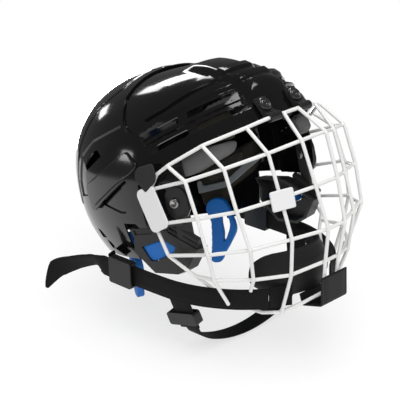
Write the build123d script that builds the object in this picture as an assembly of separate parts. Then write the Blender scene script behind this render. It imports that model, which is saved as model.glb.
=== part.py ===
from build123d import *
import math
import os

# Ice hockey helmet with a wire face cage.
# The wearer faces -Y, the wearer's left is +X and up is +Z.
# The origin is the centre of the head opening, level with the lower edge of the ear covers.

# Shell form: the rear shell's outer surface; other skins are set in or out from it
shell_half_width = 97.6
shell_front = 115.5
shell_back = 165.0
crown_height = 114.0
widest_level = 67.0
crown_fullness_share = 2.43
skirt_radius = 140.0
skirt_foot = -16.0
crown_steps = 6
cut_overrun = 60.0
seat_gap = 0.3

# Walls of the two shells and the room in which they slide
rear_wall = 2.2
slide_gap = 0.7
crown_wall = 2.4
wing_gap = 1.3
wing_wall = 2.2
brow_depth = 1.5
temple_wall = 3.0
adjust_travel = 4.0

# Shell outlines, seen from the side: distance forward is negative
brow_level = 132.3
brow_slope_share = -0.41
ridge_level = 138.5
ridge_slope_share = -0.467
ridge_wall = 3.0
band_back = -8.0
temple_front = 58.0
temple_foot = 48.0
temple_corner = 5.0
wing_lap = 4.0
wing_foot_back = 6.0
wing_shoulder_back = 33.0
wing_shoulder_level = 118.0
wing_tip_back = 82.0
wing_tip_level = 95.0
wing_tip_width = 36.0
wing_foot_level = 94.0
parting_back = 6.0
parting_level = 132.0
parting_crown_back = 30.0
parting_crown_level = 162.0
tongue = 8.0
rear_side_back = 2.0
rear_side_foot = 50.0
ear_back = 30.0
nape_level = 12.0

# Vents, ribs and crest of the front shell
vent_height = 5.6
vent_bridge = 3.4
vent_length = 62.0
vent_pitch = 11.5
vent_angle = 25.0
vent_mid_forward = 50.0
vent_mid_level = 132.5
vent_reach_in = 30.0
rib_height = 1.5
rib_width = 3.0
rib_sink = 1.0
crest_half_width = 24.0
crest_front = 84.0
crest_back = 12.0

# Bare side panels
panel_thickness = 1.6
panel_length = 60.0
panel_width = 24.0
panel_angle = 28.0
panel_mid_back = 27.5
panel_mid_level = 92.5
panel_corner = 5.0

# Rear vents
rear_vent_width = 16.0
rear_vent_height = 6.0
rear_vent_back = 92.0
rear_vent_level = 116.0
nape_vent_width = 12.0
nape_vent_height = 9.0
nape_vent_back = 84.0
nape_vent_level = 36.0

# Size adjusting screws
adjust_screw_radius = 2.4
adjust_head_radius = 5.0
adjust_head_thickness = 1.8
adjust_slot_clearance = 0.6
adjust_screw_back = 24.0
adjust_screw_level = 98.0
hole_clearance = 0.3

# Liner pads
pad_thickness = 13.0
pad_chamfer = 3.0
pad_unit = 60.0
side_pad_depth = 12.0
band_thickness = 1.2
mesh_thickness = 1.0
nape_pad_thickness = 7.0
nape_pad_height = 69.0
nape_pad_left = 61.0
nape_pad_back = 66.0
nape_pad_foot = -37.4
nape_pad_turn_angle = 63.3

# Cage wires
wire_radius = 1.7
weld_depth = 0.6
cage_half_width = 99.0
cage_reach = 142.5
cage_top = 128.2
cage_drop = 178.2
pivot_forward = 114.5
pivot_half_span = 30.0
wire_bend = 7.0

# Forehead clips
clip_width = 14.0
clip_thickness = 3.0
clip_half_spacing = 20.0
clip_running_gap = 0.08
clip_ring_wall = 2.4
clip_screw_level = 137.5
clip_upper_length = 8.0
clip_screw_head_radius = 6.4
clip_screw_head_height = 2.6
clip_screw_radius = 2.4
clip_nut_radius = 5.5
clip_nut_height = 1.6
clip_nut_clearance = 3.4

# Ear covers
ear_cover_face = 95.5
ear_cover_depth = 13.0
ear_cover_wall = 2.4
ear_toe_in_angle = 6.0
ear_cover_height = 46.5
ear_cover_length = 82.0
ear_cover_back_edge = 25.0
ear_roll_radius = 3.2
ear_arm_width = 16.0
ear_arm_rise = 9.0
ear_arm_foot = 27.0
ear_arm_gap = 1.8
ear_foam_thickness = 9.0
ear_foam_margin = 2.0
ear_foam_proud = 1.4

# Temple plates and their screws
temple_plate_thickness = 2.2
temple_plate_width = 22.0
temple_plate_height = 30.0
temple_plate_shift = 1.6
temple_screw_forward = 43.4
temple_screw_level = 69.5
temple_screw_head_radius = 4.6
temple_screw_head_height = 2.2
temple_screw_radius = 2.3
temple_nut_radius = 5.0
temple_nut_height = 1.5

# Side plates, strap tabs and snaps
plate_length = 41.0
plate_width = 25.0
plate_thickness = 2.0
plate_corner = 6.0
plate_lean_angle = 17.0
plate_mid_forward = 25.1
plate_mid_level = 67.0
plate_face_in = 102.0
tab_length = 27.0
tab_width = 29.0
tab_thickness = 2.2
tab_corner = 4.0
tab_face_in = 101.0
tab_mid_forward = 22.5
tab_mid_level = 96.0
tab_gap = 0.5
snap_radius = 6.0
stud_radius = 4.0
stud_lift = 1.2

# Chin cup
cup_radius = 44.0
cup_wall = 2.6
cup_centre_forward = 68.0
cup_top = 4.0
cup_bottom = -37.0
cup_top_inset = 5.0
cup_bottom_inset = 9.0
cup_pad_thickness = 7.0

# Chin wrap and wire tag
wrap_width = 36.0
wrap_thickness = 1.8
wrap_top_forward = 131.3
wrap_top_level = -22.0
wrap_low_forward = 126.0
wrap_low_level = -47.0
wrap_back_forward = 101.0
tag_width = 22.0
tag_height = 18.0
tag_thickness = 3.0
tag_gap = 0.9

# Webbing
webbing_thickness = 1.8
webbing_width = 20.0
chin_strap_angle = 14.5
strap_level_share = 0.770
slider_length = 30.0
slider_height = 26.0
slider_thickness = 8.4
slider_corner = 2.5
slider_mid_back = 47.0
slot_clearance = 0.4
layer_gap = 0.3
tail_length = 86.0
tail_start_back = 50.0
anchor_height = 14.0
anchor_level = 11.0
drop_width = 25.0
drop_left = 87.0
drop_top = -8.0
drop_length = 48.0
drop_forward = 12.0
drop_lean_angle = 12.5
lower_slider_length = 36.0
lower_slider_shift = 4.0
lower_slider_height = 13.0
lower_slider_thickness = 9.6
lower_slider_depth = 38.0
lower_passage_thickness = 6.2
throat_width = 18.0
throat_gap = 1.0
throat_top_depth = 31.0
throat_bend_depth = 54.0
throat_foot = -84.0
throat_angle = 14.0

parts = {}
dome_cache = {}

# Set-in of each skin from the outer surface of the rear shell
crown_inset = rear_wall + slide_gap
crown_inner = crown_inset + crown_wall
wing_inset = -(wing_gap + wing_wall)
wing_inner = -wing_gap


def mirrored(solid):
    """Copy of a left-hand piece for the right-hand side."""
    return mirror(solid, about=Plane.YZ)


def both_sides(*solids):
    """Left and right copies as separate solids of one node."""
    return Compound(children=list(solids) + [mirrored(solid) for solid in solids])


def add_pair(name, solid):
    """Left-hand piece and its mirror image as two nodes."""
    parts[name + "_left"] = solid
    parts[name + "_right"] = mirrored(solid)


def left_facing(sketch):
    """Face of a side-view sketch, turned so that it faces the wearer's left."""
    face = sketch.face()
    return face if face.normal_at().X > 0 else -face


def side_face(*points):
    """Face from (y, z) corners in the plane x = 0."""
    return left_facing(make_face(Plane.YZ * Polyline(*points, close=True)))


def rounded_side_face(points, radius):
    """Side-view face with rounded corners."""
    face = make_face(Polyline(*points, close=True))
    return left_facing(Plane.YZ * fillet(face.vertices(), radius))


def side_prism(face):
    """Bar that runs through the whole helmet from side to side."""
    return extrude(face, amount=shell_half_width + cut_overrun, both=True)


def left_prism(face):
    """Bar that runs outward from the symmetry plane to the left."""
    return extrude(face, amount=shell_half_width + cut_overrun)


def crown_curve(half_width, height):
    """Section of the crown, fuller than an ellipse."""
    power = 2 / crown_fullness_share
    points = []
    for step in range(crown_steps + 1):
        turn = math.radians(90 * step / crown_steps)
        points.append((half_width * abs(math.cos(turn)) ** power,
                       widest_level + height * math.sin(turn) ** power))
    return Spline(*points, tangents=[(0, 1), (-1, 0)])


def half_dome(inset, length, towards):
    """Half of the dome, in front of or behind the widest section."""
    half_width = shell_half_width - inset
    height = crown_height - inset
    skirt_axis = half_width - skirt_radius
    drop = widest_level - skirt_foot
    foot = skirt_axis + math.sqrt(skirt_radius ** 2 - drop ** 2)
    sweep_angle = math.degrees(math.asin(drop / skirt_radius))
    crown = crown_curve(half_width, height)
    skirt = CenterArc((skirt_axis, widest_level), skirt_radius, -sweep_angle, sweep_angle)
    floor = Line((foot, skirt_foot), (0, skirt_foot))
    spine = Line((0, skirt_foot), (0, widest_level + height))
    profile = Plane.XZ * make_face([crown, skirt, floor, spine])
    half = revolve(profile, axis=Axis.Z, revolution_arc=180)
    if half.center().Y * towards < 0:
        half = mirror(half, about=Plane.XZ)
    return scale(half, by=(1, (length - inset) / half_width, 1)).fix()


def dome(inset):
    """Closed helmet form, its surface set in from the outer surface by inset."""
    if inset not in dome_cache:
        front = half_dome(inset, shell_front, -1)
        dome_cache[inset] = (front + half_dome(inset, shell_back, 1)).fix()
    return dome_cache[inset]


def skin(outer, inner, face):
    """Wall between two set-ins of the dome, kept inside a side-view face on both sides."""
    return (dome(outer) - dome(inner)) & side_prism(face)


def left_skin(outer, inner, face):
    """The same wall on the left side only."""
    return (dome(outer) - dome(inner)) & left_prism(face)


def plan_share(level, inset=0):
    """Plan size of the dome at a level, as a share of its widest plan."""
    if level >= widest_level:
        rise = (level - widest_level) / (crown_height - inset)
        return max(1 - rise ** crown_fullness_share, 0) ** (1 / crown_fullness_share)
    drop = widest_level - level
    return 1 - (skirt_radius - math.sqrt(skirt_radius ** 2 - drop ** 2)) / (shell_half_width - inset)


def plan_length(y, inset):
    """Semi-length of the dome's plan at its widest level, in front or behind."""
    return (shell_front if y < 0 else shell_back) - inset


def dome_share(x, y, z, inset=0):
    """How far out a point lies: 1 on the dome's surface, less inside."""
    flat = math.hypot(x / (shell_half_width - inset), y / plan_length(y, inset))
    if z < widest_level:
        return flat / plan_share(z, inset)
    rise = (z - widest_level) / (crown_height - inset)
    return (flat ** crown_fullness_share + rise ** crown_fullness_share) ** (1 / crown_fullness_share)


def side_of_dome(y, z, inset=0):
    """Half-width of the dome at one place seen from the side."""
    inside = plan_share(z, inset) ** 2 - (y / plan_length(y, inset)) ** 2
    return (shell_half_width - inset) * math.sqrt(max(inside, 0))


def front_of_dome(x, z, inset=0):
    """Distance forward of the dome's surface at one place seen from the front."""
    inside = plan_share(z, inset) ** 2 - (x / (shell_half_width - inset)) ** 2
    return plan_length(-1, inset) * math.sqrt(max(inside, 0))


def brow_line(y):
    """Level of the brow edge at one place seen from the side."""
    return brow_level + brow_slope_share * (y + shell_front)


def ridge_line(y):
    """Level of the ridge between the crown and the raised side band."""
    return ridge_level + ridge_slope_share * y


far_front = -(shell_front + cut_overrun)
far_back = shell_back + cut_overrun
ceiling = widest_level + crown_height + cut_overrun


def parting(back):
    """Side view of the crown's rear edge, moved back by a distance."""
    mid = (parting_back + parting_crown_back) / 2
    mid_level = (parting_level * 2 + parting_crown_level) / 3
    return [(parting_back + back, parting_level), (mid + back, mid_level),
            (parting_crown_back - seat_gap + back, parting_crown_level),
            (parting_crown_back + back, ceiling)]


def crown_face():
    """Side view of the crown skin, with the tongue that runs under the rear shell."""
    edge = parting(tongue)[1:]
    back_end = parting_back + tongue
    return side_face((far_front, ridge_line(far_front)), (back_end, ridge_line(back_end)),
                     *edge, (far_front, ceiling))


def band_face():
    """Side view of the raised side band and forehead."""
    return side_face((far_front, brow_line(far_front)), (band_back, brow_line(band_back)),
                     (band_back, ridge_line(band_back)), (far_front, ridge_line(far_front)))


def ridge_face():
    """Side view of the wall that joins the crown skin and the band."""
    half = ridge_wall / 2
    return side_face((far_front, ridge_line(far_front) - half), (band_back, ridge_line(band_back) - half),
                     (band_back, ridge_line(band_back) + half), (far_front, ridge_line(far_front) + half))


def temple_face():
    """Side view of the temple piece under the band."""
    lap = ridge_wall
    return side_face(
        (-temple_front + temple_corner, brow_line(-temple_front + temple_corner) + lap),
        (-temple_front, temple_screw_level + snap_radius),
        (-temple_front + temple_corner, (temple_screw_level + temple_foot) / 2),
        (-temple_screw_forward, temple_foot),
        (band_back, temple_foot),
        (band_back, brow_line(band_back) + lap))


def temple_edge_face():
    """Side view of the thick rear edge of the temple."""
    return side_face((band_back - wing_lap, temple_foot), (band_back, temple_foot),
                     (band_back, brow_line(band_back) + ridge_wall),
                     (band_back - wing_lap, brow_line(band_back) + ridge_wall))


def wing_face():
    """Side view of the wing that covers the rear shell's side."""
    front = band_back - wing_lap
    return side_face(
        (front, temple_foot), (front, ridge_line(front)), (parting_back, ridge_line(parting_back)),
        (wing_shoulder_back, wing_shoulder_level), (wing_tip_back, wing_tip_level),
        (wing_tip_back - wing_tip_width / 5, wing_tip_level - wing_tip_width),
        (wing_foot_back, wing_foot_level), (wing_foot_back, temple_foot))


def vent_bars():
    """Slanted bars that cut the paired vents on the left."""
    bars = []
    half = (vent_length - vent_bridge) / 2
    for row in (-0.5, 0.5):
        for side_of_bridge in (-1, 1):
            along = side_of_bridge * (half + vent_bridge) / 2
            bar = Box(shell_half_width, half, vent_height)
            place = Pos(vent_reach_in + shell_half_width / 2, along, row * vent_pitch)
            bars.append(Rot(-vent_angle, 0, 0) * place * bar)
    return [Pos(0, -vent_mid_forward, vent_mid_level) * bar for bar in bars]


def slanted_strip(mid_y, mid_z, length, width, angle):
    """Side-view strip that falls towards the back."""
    return Plane.YZ * (Pos(mid_y, mid_z) * Rot(0, 0, -angle) * Rectangle(length, width))


def adjust_slot():
    """Slot in the left wing along which a size screw moves."""
    half = adjust_screw_radius + adjust_slot_clearance
    slot = Box(shell_half_width, 2 * adjust_travel + 2 * half, 2 * half)
    return Pos(shell_half_width, adjust_screw_back, adjust_screw_level) * slot


def with_mirrored(cutters):
    """Left-hand cutters together with their mirror images."""
    return cutters + [mirrored(cutter) for cutter in cutters]


def make_front_shell():
    """Front half of the shell: crown skin, raised band, temples, wings, ribs and crest."""
    shell = skin(crown_inset, crown_inner, crown_face())
    shell += skin(wing_inset, brow_depth, band_face())
    shell += skin(wing_inset, crown_inner, ridge_face())
    shell += skin(0, temple_wall, temple_face())
    shell += skin(wing_inset, brow_depth, temple_edge_face())
    shell += skin(wing_inset, wing_inner, wing_face())
    for rise in (-1, 1):
        level = vent_mid_level + rise * (vent_pitch + rib_width) * 0.75
        rib = slanted_strip(-vent_mid_forward, level, vent_length * 1.1, rib_width, vent_angle)
        shell += skin(wing_inset - rib_height, wing_inset + rib_sink, rib)
    crest = Box(2 * crest_half_width, crest_front + crest_back, 2 * crown_height)
    crest = Pos(0, (crest_back - crest_front) / 2, widest_level + crown_height) * crest
    shell += (dome(0) - dome(crown_inset + rib_sink)) & crest
    cutters = with_mirrored(vent_bars() + [adjust_slot(), temple_screw_bore()])
    return shell - (cutters + [forehead_bore(side) for side in (-1, 1)])


def make_rear_shell():
    """Rear half of the shell, which slides over the crown and under the wings."""
    outline = side_face(
        *parting(0), (far_back, ceiling), (far_back, nape_level), (ear_back, nape_level),
        (ear_back, rear_side_foot), (rear_side_back, rear_side_foot), (rear_side_back, parting_level))
    shell = skin(0, rear_wall, outline)
    vent = Box(shell_half_width, rear_vent_width, rear_vent_height)
    cutters = [Pos(shell_half_width, rear_vent_back, rear_vent_level) * Rot(-vent_angle, 0, 0) * vent]
    for step in (0, 1):
        hole = Box(shell_half_width, nape_vent_width, nape_vent_height)
        level = nape_vent_level + step * nape_vent_height * 1.5
        place = Pos(shell_half_width, nape_vent_back - step * vent_height, level)
        cutters.append(place * Rot(vent_angle, 0, 0) * hole)
    return shell - with_mirrored(cutters + [adjust_bore()])


def adjust_seat():
    """Distance out of the flat seat inside the rear shell for the left size screw's head."""
    return side_of_dome(adjust_screw_back, adjust_screw_level + adjust_head_radius, rear_wall) - 2 * seat_gap


def adjust_shank(radius):
    """Cylinder along X through both shells at the left size screw."""
    travel_end = adjust_screw_back + adjust_travel + radius
    outer = side_of_dome(travel_end, adjust_screw_level + radius, wing_inset) - 2 * seat_gap
    inner = adjust_seat()
    shank = Cylinder(radius, outer - inner)
    return Pos((outer + inner) / 2, adjust_screw_back, adjust_screw_level) * Rot(0, 90, 0) * shank


def adjust_bore():
    """Square hole along X through the rear shell at the left size screw."""
    width = 2 * (adjust_screw_radius + hole_clearance)
    return Pos(shell_half_width, adjust_screw_back, adjust_screw_level) * Box(shell_half_width, width, width)


def make_adjust_screw():
    """Screw that clamps the rear shell through the slot in the left wing."""
    inner = adjust_seat()
    head = Cylinder(adjust_head_radius, adjust_head_thickness, align=(Align.CENTER, Align.CENTER, Align.MAX))
    head = Pos(inner, adjust_screw_back, adjust_screw_level) * Rot(0, 90, 0) * head
    return head + adjust_shank(adjust_screw_radius)


def make_side_panel():
    """Bare raised panel on the left wing."""
    strip = Pos(panel_mid_back, panel_mid_level) * Rot(0, 0, -panel_angle) * RectangleRounded(
        panel_length, panel_width, panel_corner)
    seat = wing_inset - seat_gap
    return left_skin(seat - panel_thickness, seat, Plane.YZ * strip)


def forehead_plane(side):
    """Plane on the forehead at a clip screw, with its z axis pointing out."""
    inner_edge = clip_half_spacing - clip_width / 2
    forward = front_of_dome(inner_edge, clip_screw_level, wing_inset)
    length = plan_length(-1, wing_inset)
    flat = math.hypot(inner_edge / (shell_half_width - wing_inset), forward / length)
    height = crown_height - wing_inset
    rise = (clip_screw_level - widest_level) / height
    slope_y = flat ** (crown_fullness_share - 2) * forward / length ** 2
    slope_z = rise ** (crown_fullness_share - 1) / height
    normal = Vector(0, -slope_y, slope_z).normalized()
    origin = Vector(side * clip_half_spacing, -forward, clip_screw_level)
    return Plane(origin=origin, x_dir=(1, 0, 0), z_dir=normal)


def forehead_bore(side):
    """Hole for a clip screw."""
    return forehead_plane(side) * Cylinder(clip_screw_radius + hole_clearance, cut_overrun)


def make_forehead_clip(side):
    """Clip that is screwed to the forehead and holds the cage's top bar as a hinge."""
    plane = forehead_plane(side)
    point, normal = plane.origin, plane.z_dir
    down = Vector(0, normal.Z, -normal.Y)
    down = down if down.Z < 0 else down * -1
    pivot = Vector(point.X, -pivot_forward, cage_top)
    low = point + normal * (2 * seat_gap)
    high = low + normal * clip_thickness
    ring_radius = wire_radius + clip_running_gap + clip_ring_wall
    waist = (pivot - point).dot(down) * 0.45
    corners = [
        low - down * clip_upper_length, high - down * clip_upper_length,
        high + down * waist, pivot + normal * (ring_radius * 0.8) - down * (ring_radius * 0.3),
        pivot + down * (ring_radius * 0.3) - normal * (ring_radius * 0.6),
        low + down * (waist + clip_thickness)]
    centre = Pos(pivot.Y, pivot.Z)
    ring = Plane.YZ * (centre * Circle(ring_radius))
    bore = Plane.YZ * (centre * Circle(wire_radius + clip_running_gap))
    clip = extrude(side_face(*[(c.Y, c.Z) for c in corners]), amount=clip_width / 2, both=True)
    clip += extrude(ring, amount=clip_width / 2, both=True)
    clip -= extrude(bore, amount=clip_width, both=True)
    return Pos(point.X, 0, 0) * clip - forehead_bore(side)


def make_clip_screw(side):
    """Wide flat screw through a forehead clip."""
    base = 3 * seat_gap + clip_thickness
    wall = brow_depth - wing_inset
    head = Cylinder(clip_screw_head_radius, clip_screw_head_height,
                    align=(Align.CENTER, Align.CENTER, Align.MIN))
    head = chamfer(head.edges().sort_by(Axis.Z)[-1:], clip_screw_head_height / 3)
    shank = Cylinder(clip_screw_radius, base + wall + clip_nut_clearance + clip_nut_height,
                     align=(Align.CENTER, Align.CENTER, Align.MAX))
    return forehead_plane(side) * (Pos(0, 0, base) * (head + shank))


def make_clip_nut(side):
    """Flat nut behind the forehead that takes a clip screw."""
    nut = Cylinder(clip_nut_radius, clip_nut_height, align=(Align.CENTER, Align.CENTER, Align.MAX))
    bore = Cylinder(clip_screw_radius + hole_clearance, cut_overrun)
    depth = brow_depth - wing_inset + clip_nut_clearance
    return forehead_plane(side) * (Pos(0, 0, -depth) * nut - bore)


def pad_at(azimuth, elevation, width, height, inset):
    """Flat foam pad that lies against the inside of the shell.

    The azimuth is 0 at the forehead and grows towards the left, in degrees.
    """
    turn, tilt = math.radians(azimuth), math.radians(elevation)
    out = Vector(math.sin(turn) * math.cos(tilt), -math.cos(turn) * math.cos(tilt), math.sin(tilt))
    plane = Plane(origin=(0, 0, widest_level), x_dir=(math.cos(turn), math.sin(turn), 0), z_dir=out)
    near, far = 0, shell_back
    while far - near > seat_gap / 3:
        middle = (near + far) / 2
        corners = [plane.from_local_coords(Vector(sx * width / 2, sy * height / 2, middle))
                   for sx in (-1, 1) for sy in (-1, 1)]
        if max(dome_share(c.X, c.Y, c.Z, inset + seat_gap) for c in corners) > 1:
            far = middle
        else:
            near = middle
    pad = Box(width, height, pad_thickness, align=(Align.CENTER, Align.CENTER, Align.MAX))
    pad = chamfer(pad.faces().sort_by(Axis.Z)[0].edges(), pad_chamfer)
    return plane * (Pos(0, 0, near) * pad)


# Each row is a pad's azimuth, elevation, width and height: angles in degrees, sizes as shares of the pad unit
brow_pad_shares = [(0, 41, 0.80, 0.42), (36, 37, 0.62, 0.42), (-36, 37, 0.62, 0.42)]
crown_pad_shares = [(0, 66, 0.75, 0.55), (58, 58, 0.60, 0.55), (-58, 58, 0.60, 0.55)]
rear_pad_shares = [(180, 4, 0.80, 0.70), (180, 50, 0.60, 0.60), (146, 44, 0.55, 0.60), (-146, 44, 0.55, 0.60)]


def pad_group(rows, inset):
    """Separate pads made from a table of places."""
    pads = [pad_at(az, el, w * pad_unit, h * pad_unit, inset) for az, el, w, h in rows]
    return Compound(children=pads)


# Side-view outlines on the inner walls: shares of the pad unit, measured back from the widest section and up
side_liner_shares = [(0.35, 1.43), (0.62, 1.33), (1.15, 1.20), (1.50, 1.02), (1.55, 0.66), (1.42, 0.34),
                     (1.07, 0.34),
                     (1.05, 0.58), (0.55, 0.85), (0.35, 1.05)]
mesh_shares = [(0.58, 1.25), (0.95, 1.14), (1.22, 0.99), (1.33, 0.85), (1.28, 0.77), (1.04, 0.82),
               (0.78, 1.01),
               (0.60, 1.09)]
liner_band_shares = [(1.53, 0.80), (1.46, 0.81), (1.43, 0.71), (1.00, 0.76), (0.54, 1.06), (0.18, 1.21),
                     (0.18, 1.12),
                     (0.52, 0.93), (0.95, 0.67), (1.02, 0.65), (1.50, 0.59)]
temple_pad_shares = [(-0.67, 1.66), (-0.78, 1.52), (-0.97, 1.51), (-1.40, 1.72), (-1.40, 1.90), (-1.00, 1.86),
                     (-0.72, 1.76)]


def pad_points(shares):
    """Side-view corners in real sizes."""
    return [(y * pad_unit, z * pad_unit) for y, z in shares]


def make_side_liner():
    """Curved pad on the left wall of the rear shell."""
    outer = rear_wall + seat_gap
    return left_skin(outer, outer + side_pad_depth, side_face(*pad_points(side_liner_shares)))


def make_mesh_patch():
    """Net patch on the face of the left side pad."""
    outer = rear_wall + side_pad_depth + 2 * seat_gap
    return left_skin(outer, outer + mesh_thickness, side_face(*pad_points(mesh_shares)))


def make_liner_band():
    """Bent band under and in front of the net patch."""
    outer = rear_wall + side_pad_depth + 2 * seat_gap
    return left_skin(outer, outer + band_thickness, side_face(*pad_points(liner_band_shares)))


def make_temple_pad():
    """Curved pad under the brow edge on the left."""
    outer = temple_wall + seat_gap
    return left_skin(outer, outer + side_pad_depth, side_face(*pad_points(temple_pad_shares)))


# Outline and slot of the looped nape pad as shares of its height, along the wall and up from its foot
nape_pad_shares = [(0.19, 0.86), (0.11, 0.97), (0.03, 1.00), (-0.10, 0.98), (-0.17, 0.89), (-0.21, 0.72),
                   (-0.24, 0.53), (-0.21, 0.42), (-0.12, 0.30), (0.01, 0.15), (0.10, 0.00), (0.27, 0.02),
                   (0.18, 0.36), (0.13, 0.66)]
nape_slot_shares = [(-0.05, 0.75), (-0.14, 0.72), (-0.15, 0.55), (-0.07, 0.40), (0.02, 0.27),
                    (-0.03, 0.46), (-0.03, 0.62)]


def make_nape_pad():
    """Looped foam pad behind the left ear."""
    turn = math.radians(nape_pad_turn_angle)
    plane = Plane(origin=(nape_pad_left, nape_pad_back, nape_pad_foot),
                  x_dir=(-math.cos(turn), math.sin(turn), 0), z_dir=(math.sin(turn), math.cos(turn), 0))
    outline, slot = [
        make_face(Polyline(*[(x * nape_pad_height, z * nape_pad_height) for x, z in shares], close=True))
        for shares in (nape_pad_shares, nape_slot_shares)]
    pad = extrude(outline, amount=nape_pad_thickness / 2, both=True)
    pad = chamfer(pad.faces().sort_by(Axis.Z)[0].outer_wire().edges(), nape_pad_thickness / 5)
    return plane * (pad - extrude(slot, amount=nape_pad_thickness, both=True))


def cage_point(x_share, y_share, z_share):
    """Point of the cage from shares of its half-width, reach and drop."""
    return Vector(x_share * cage_half_width, -y_share * cage_reach, cage_top - z_share * cage_drop)


# Wire routes on the left half as shares of the cage's half-width, reach and drop
brow_bar_shares = [(0.162, 0.951, 0.134), (0.440, 0.845, 0.157), (0.808, 0.716, 0.177),
                   (1.000, 0.509, 0.207), (1.010, 0.188, 0.245)]
eye_bar_shares = [(0.147, 0.986, 0.369), (0.438, 0.875, 0.385), (0.808, 0.751, 0.393),
                  (1.000, 0.547, 0.398), (1.010, 0.154, 0.430)]
nose_bar_shares = [(0.115, 1.000, 0.594), (0.427, 0.895, 0.595), (0.768, 0.769, 0.594),
                   (0.970, 0.550, 0.588), (1.000, 0.208, 0.594)]
mouth_bar_shares = [(0.091, 0.907, 0.769), (0.392, 0.806, 0.788), (0.667, 0.675, 0.767),
                    (0.889, 0.500, 0.735), (0.893, 0.333, 0.718)]
top_bar_shares = [(0.455, 0.719, 0.022), (0.788, 0.558, 0.059), (0.980, 0.365, 0.127), (0.995, 0.246, 0.172)]
rim_shares = [(0.081, 0.835, 0.938), (0.202, 0.735, 0.973), (0.343, 0.628, 1.000), (0.465, 0.547, 0.983),
              (0.545, 0.468, 0.941), (0.674, 0.423, 0.897), (0.828, 0.339, 0.756), (0.940, 0.314, 0.686),
              (1.000, 0.200, 0.594), (1.000, 0.145, 0.456), (1.005, 0.147, 0.327), (1.000, 0.190, 0.225),
              (0.995, 0.246, 0.172)]


def rod(points, radius=wire_radius, bend=wire_bend):
    """Round wire through the points with bends of one radius."""
    radii = []
    for before, here, after in zip(points, points[1:], points[2:]):
        arm = min((here - before).length, (after - here).length)
        turn = math.radians((here - before).get_angle(after - here))
        radii.append(min(bend, 0.45 * arm / max(math.tan(turn / 2), 0.001)))
    path = FilletPolyline(*points, radius=radii) if radii else Line(*points)
    start = Plane(origin=path @ 0, z_dir=path % 0)
    return sweep(start * Circle(radius), path=path)


def across(left_points):
    """Route over the whole width from the points of its left half."""
    return [Vector(-p.X, p.Y, p.Z) for p in reversed(left_points)] + left_points


def bar(shares):
    """Horizontal cage wire."""
    return rod(across([cage_point(*share) for share in shares]))


def make_top_bar():
    """Top wire, straight where the forehead clips hold it."""
    pivot_end = Vector(pivot_half_span, -pivot_forward, cage_top)
    return rod(across([pivot_end] + [cage_point(*share) for share in top_bar_shares]))


def outward(point):
    """Point moved out to where a welded upright crosses a bar."""
    middle = Vector(0, -cage_reach / 4, point.Z)
    return point + (point - middle).normalized() * (2 * wire_radius - weld_depth)


def upright(column, end_share):
    """Vertical cage wire on the left through one column of crossings."""
    rows = [brow_bar_shares, eye_bar_shares, nose_bar_shares, mouth_bar_shares]
    points = [cage_point(*row[column]) for row in rows]
    if column == 0:
        first = Vector(cage_half_width * brow_bar_shares[0][0] * 0.6, -pivot_forward, cage_top)
    else:
        first = cage_point(*top_bar_shares[column - 1])
    points = [first] + points + [cage_point(*end_share)]
    return rod([outward(point) for point in points])


upright_end_shares = [(0.081, 0.835, 0.938), (0.343, 0.628, 1.000), (0.626, 0.604, 0.830),
                      (0.727, 0.463, 0.888)]
upright_names = ["cage_inner_uprights", "cage_second_uprights", "cage_third_uprights", "cage_outer_uprights"]


def make_wire_tag():
    """Blank plastic tag clamped over a wire crossing on the right."""
    crossing = outward(cage_point(*eye_bar_shares[1]))
    crossing = Vector(-crossing.X, crossing.Y, crossing.Z)
    facing = Vector(crossing.X, crossing.Y + cage_reach / 4, 0).normalized()
    plane = Plane(origin=crossing, x_dir=(-facing.Y, facing.X, 0), z_dir=facing)
    plate = extrude(RectangleRounded(tag_width, tag_height, wire_radius), amount=tag_thickness)
    return plane * (Pos(0, 0, wire_radius + tag_gap) * plate)


# Ear cover outlines as shares of its length and height, measured from its rear upper corner
ear_outline_shares = [(0.00, 1.00), (0.06, 0.79), (0.02, 0.49), (0.28, 0.03), (0.63, 0.00),
                      (0.80, 0.12), (1.00, 0.53), (0.56, 0.95), (0.45, 1.00)]
ear_window_shares = [(0.16, 0.60), (0.50, 0.74), (0.67, 0.59), (0.63, 0.47), (0.34, 0.30), (0.26, 0.30)]
ear_slot_shares = [(0.10, 0.84), (0.36, 0.86), (0.36, 0.94), (0.08, 0.94)]


def ear_points(shares, grow=0):
    """Side-view corners of an ear cover outline, pushed out from its middle by grow."""
    points = [(ear_cover_back_edge - s * ear_cover_length, t * ear_cover_height) for s, t in shares]
    middle_y = sum(p[0] for p in points) / len(points)
    middle_z = sum(p[1] for p in points) / len(points)
    grown = []
    for y, z in points:
        factor = 1 + grow / math.hypot(y - middle_y, z - middle_z)
        grown.append((middle_y + (y - middle_y) * factor, middle_z + (z - middle_z) * factor))
    return grown


def toe_in(solid):
    """Turn an ear piece so that its front end comes inward."""
    hinge = Pos(ear_cover_face, ear_cover_back_edge, 0)
    return hinge * Rot(0, 0, -ear_toe_in_angle) * hinge.inverse() * solid


def ear_slab(points, start, stop, taper=0):
    """Slab with an ear outline between two distances from the symmetry plane."""
    return extrude(Pos(start, 0, 0) * side_face(*points), amount=stop - start, taper=taper)


def ear_roll(step):
    """Round roll along the upper front edge of the ear cover."""
    front, top = ear_points([ear_outline_shares[6], ear_outline_shares[7]])
    along = Vector(0, top[0] - front[0], top[1] - front[1]).normalized()
    shift = Vector(0, -along.Z, along.Y) * (step * ear_roll_radius)
    middle = ear_cover_face - ear_roll_radius - ear_cover_wall / 2
    start = Vector(middle, *front) + along * ear_roll_radius + shift
    stop = Vector(middle, *top) - along * ear_roll_radius + shift
    return rod([start, stop], ear_roll_radius)


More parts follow.
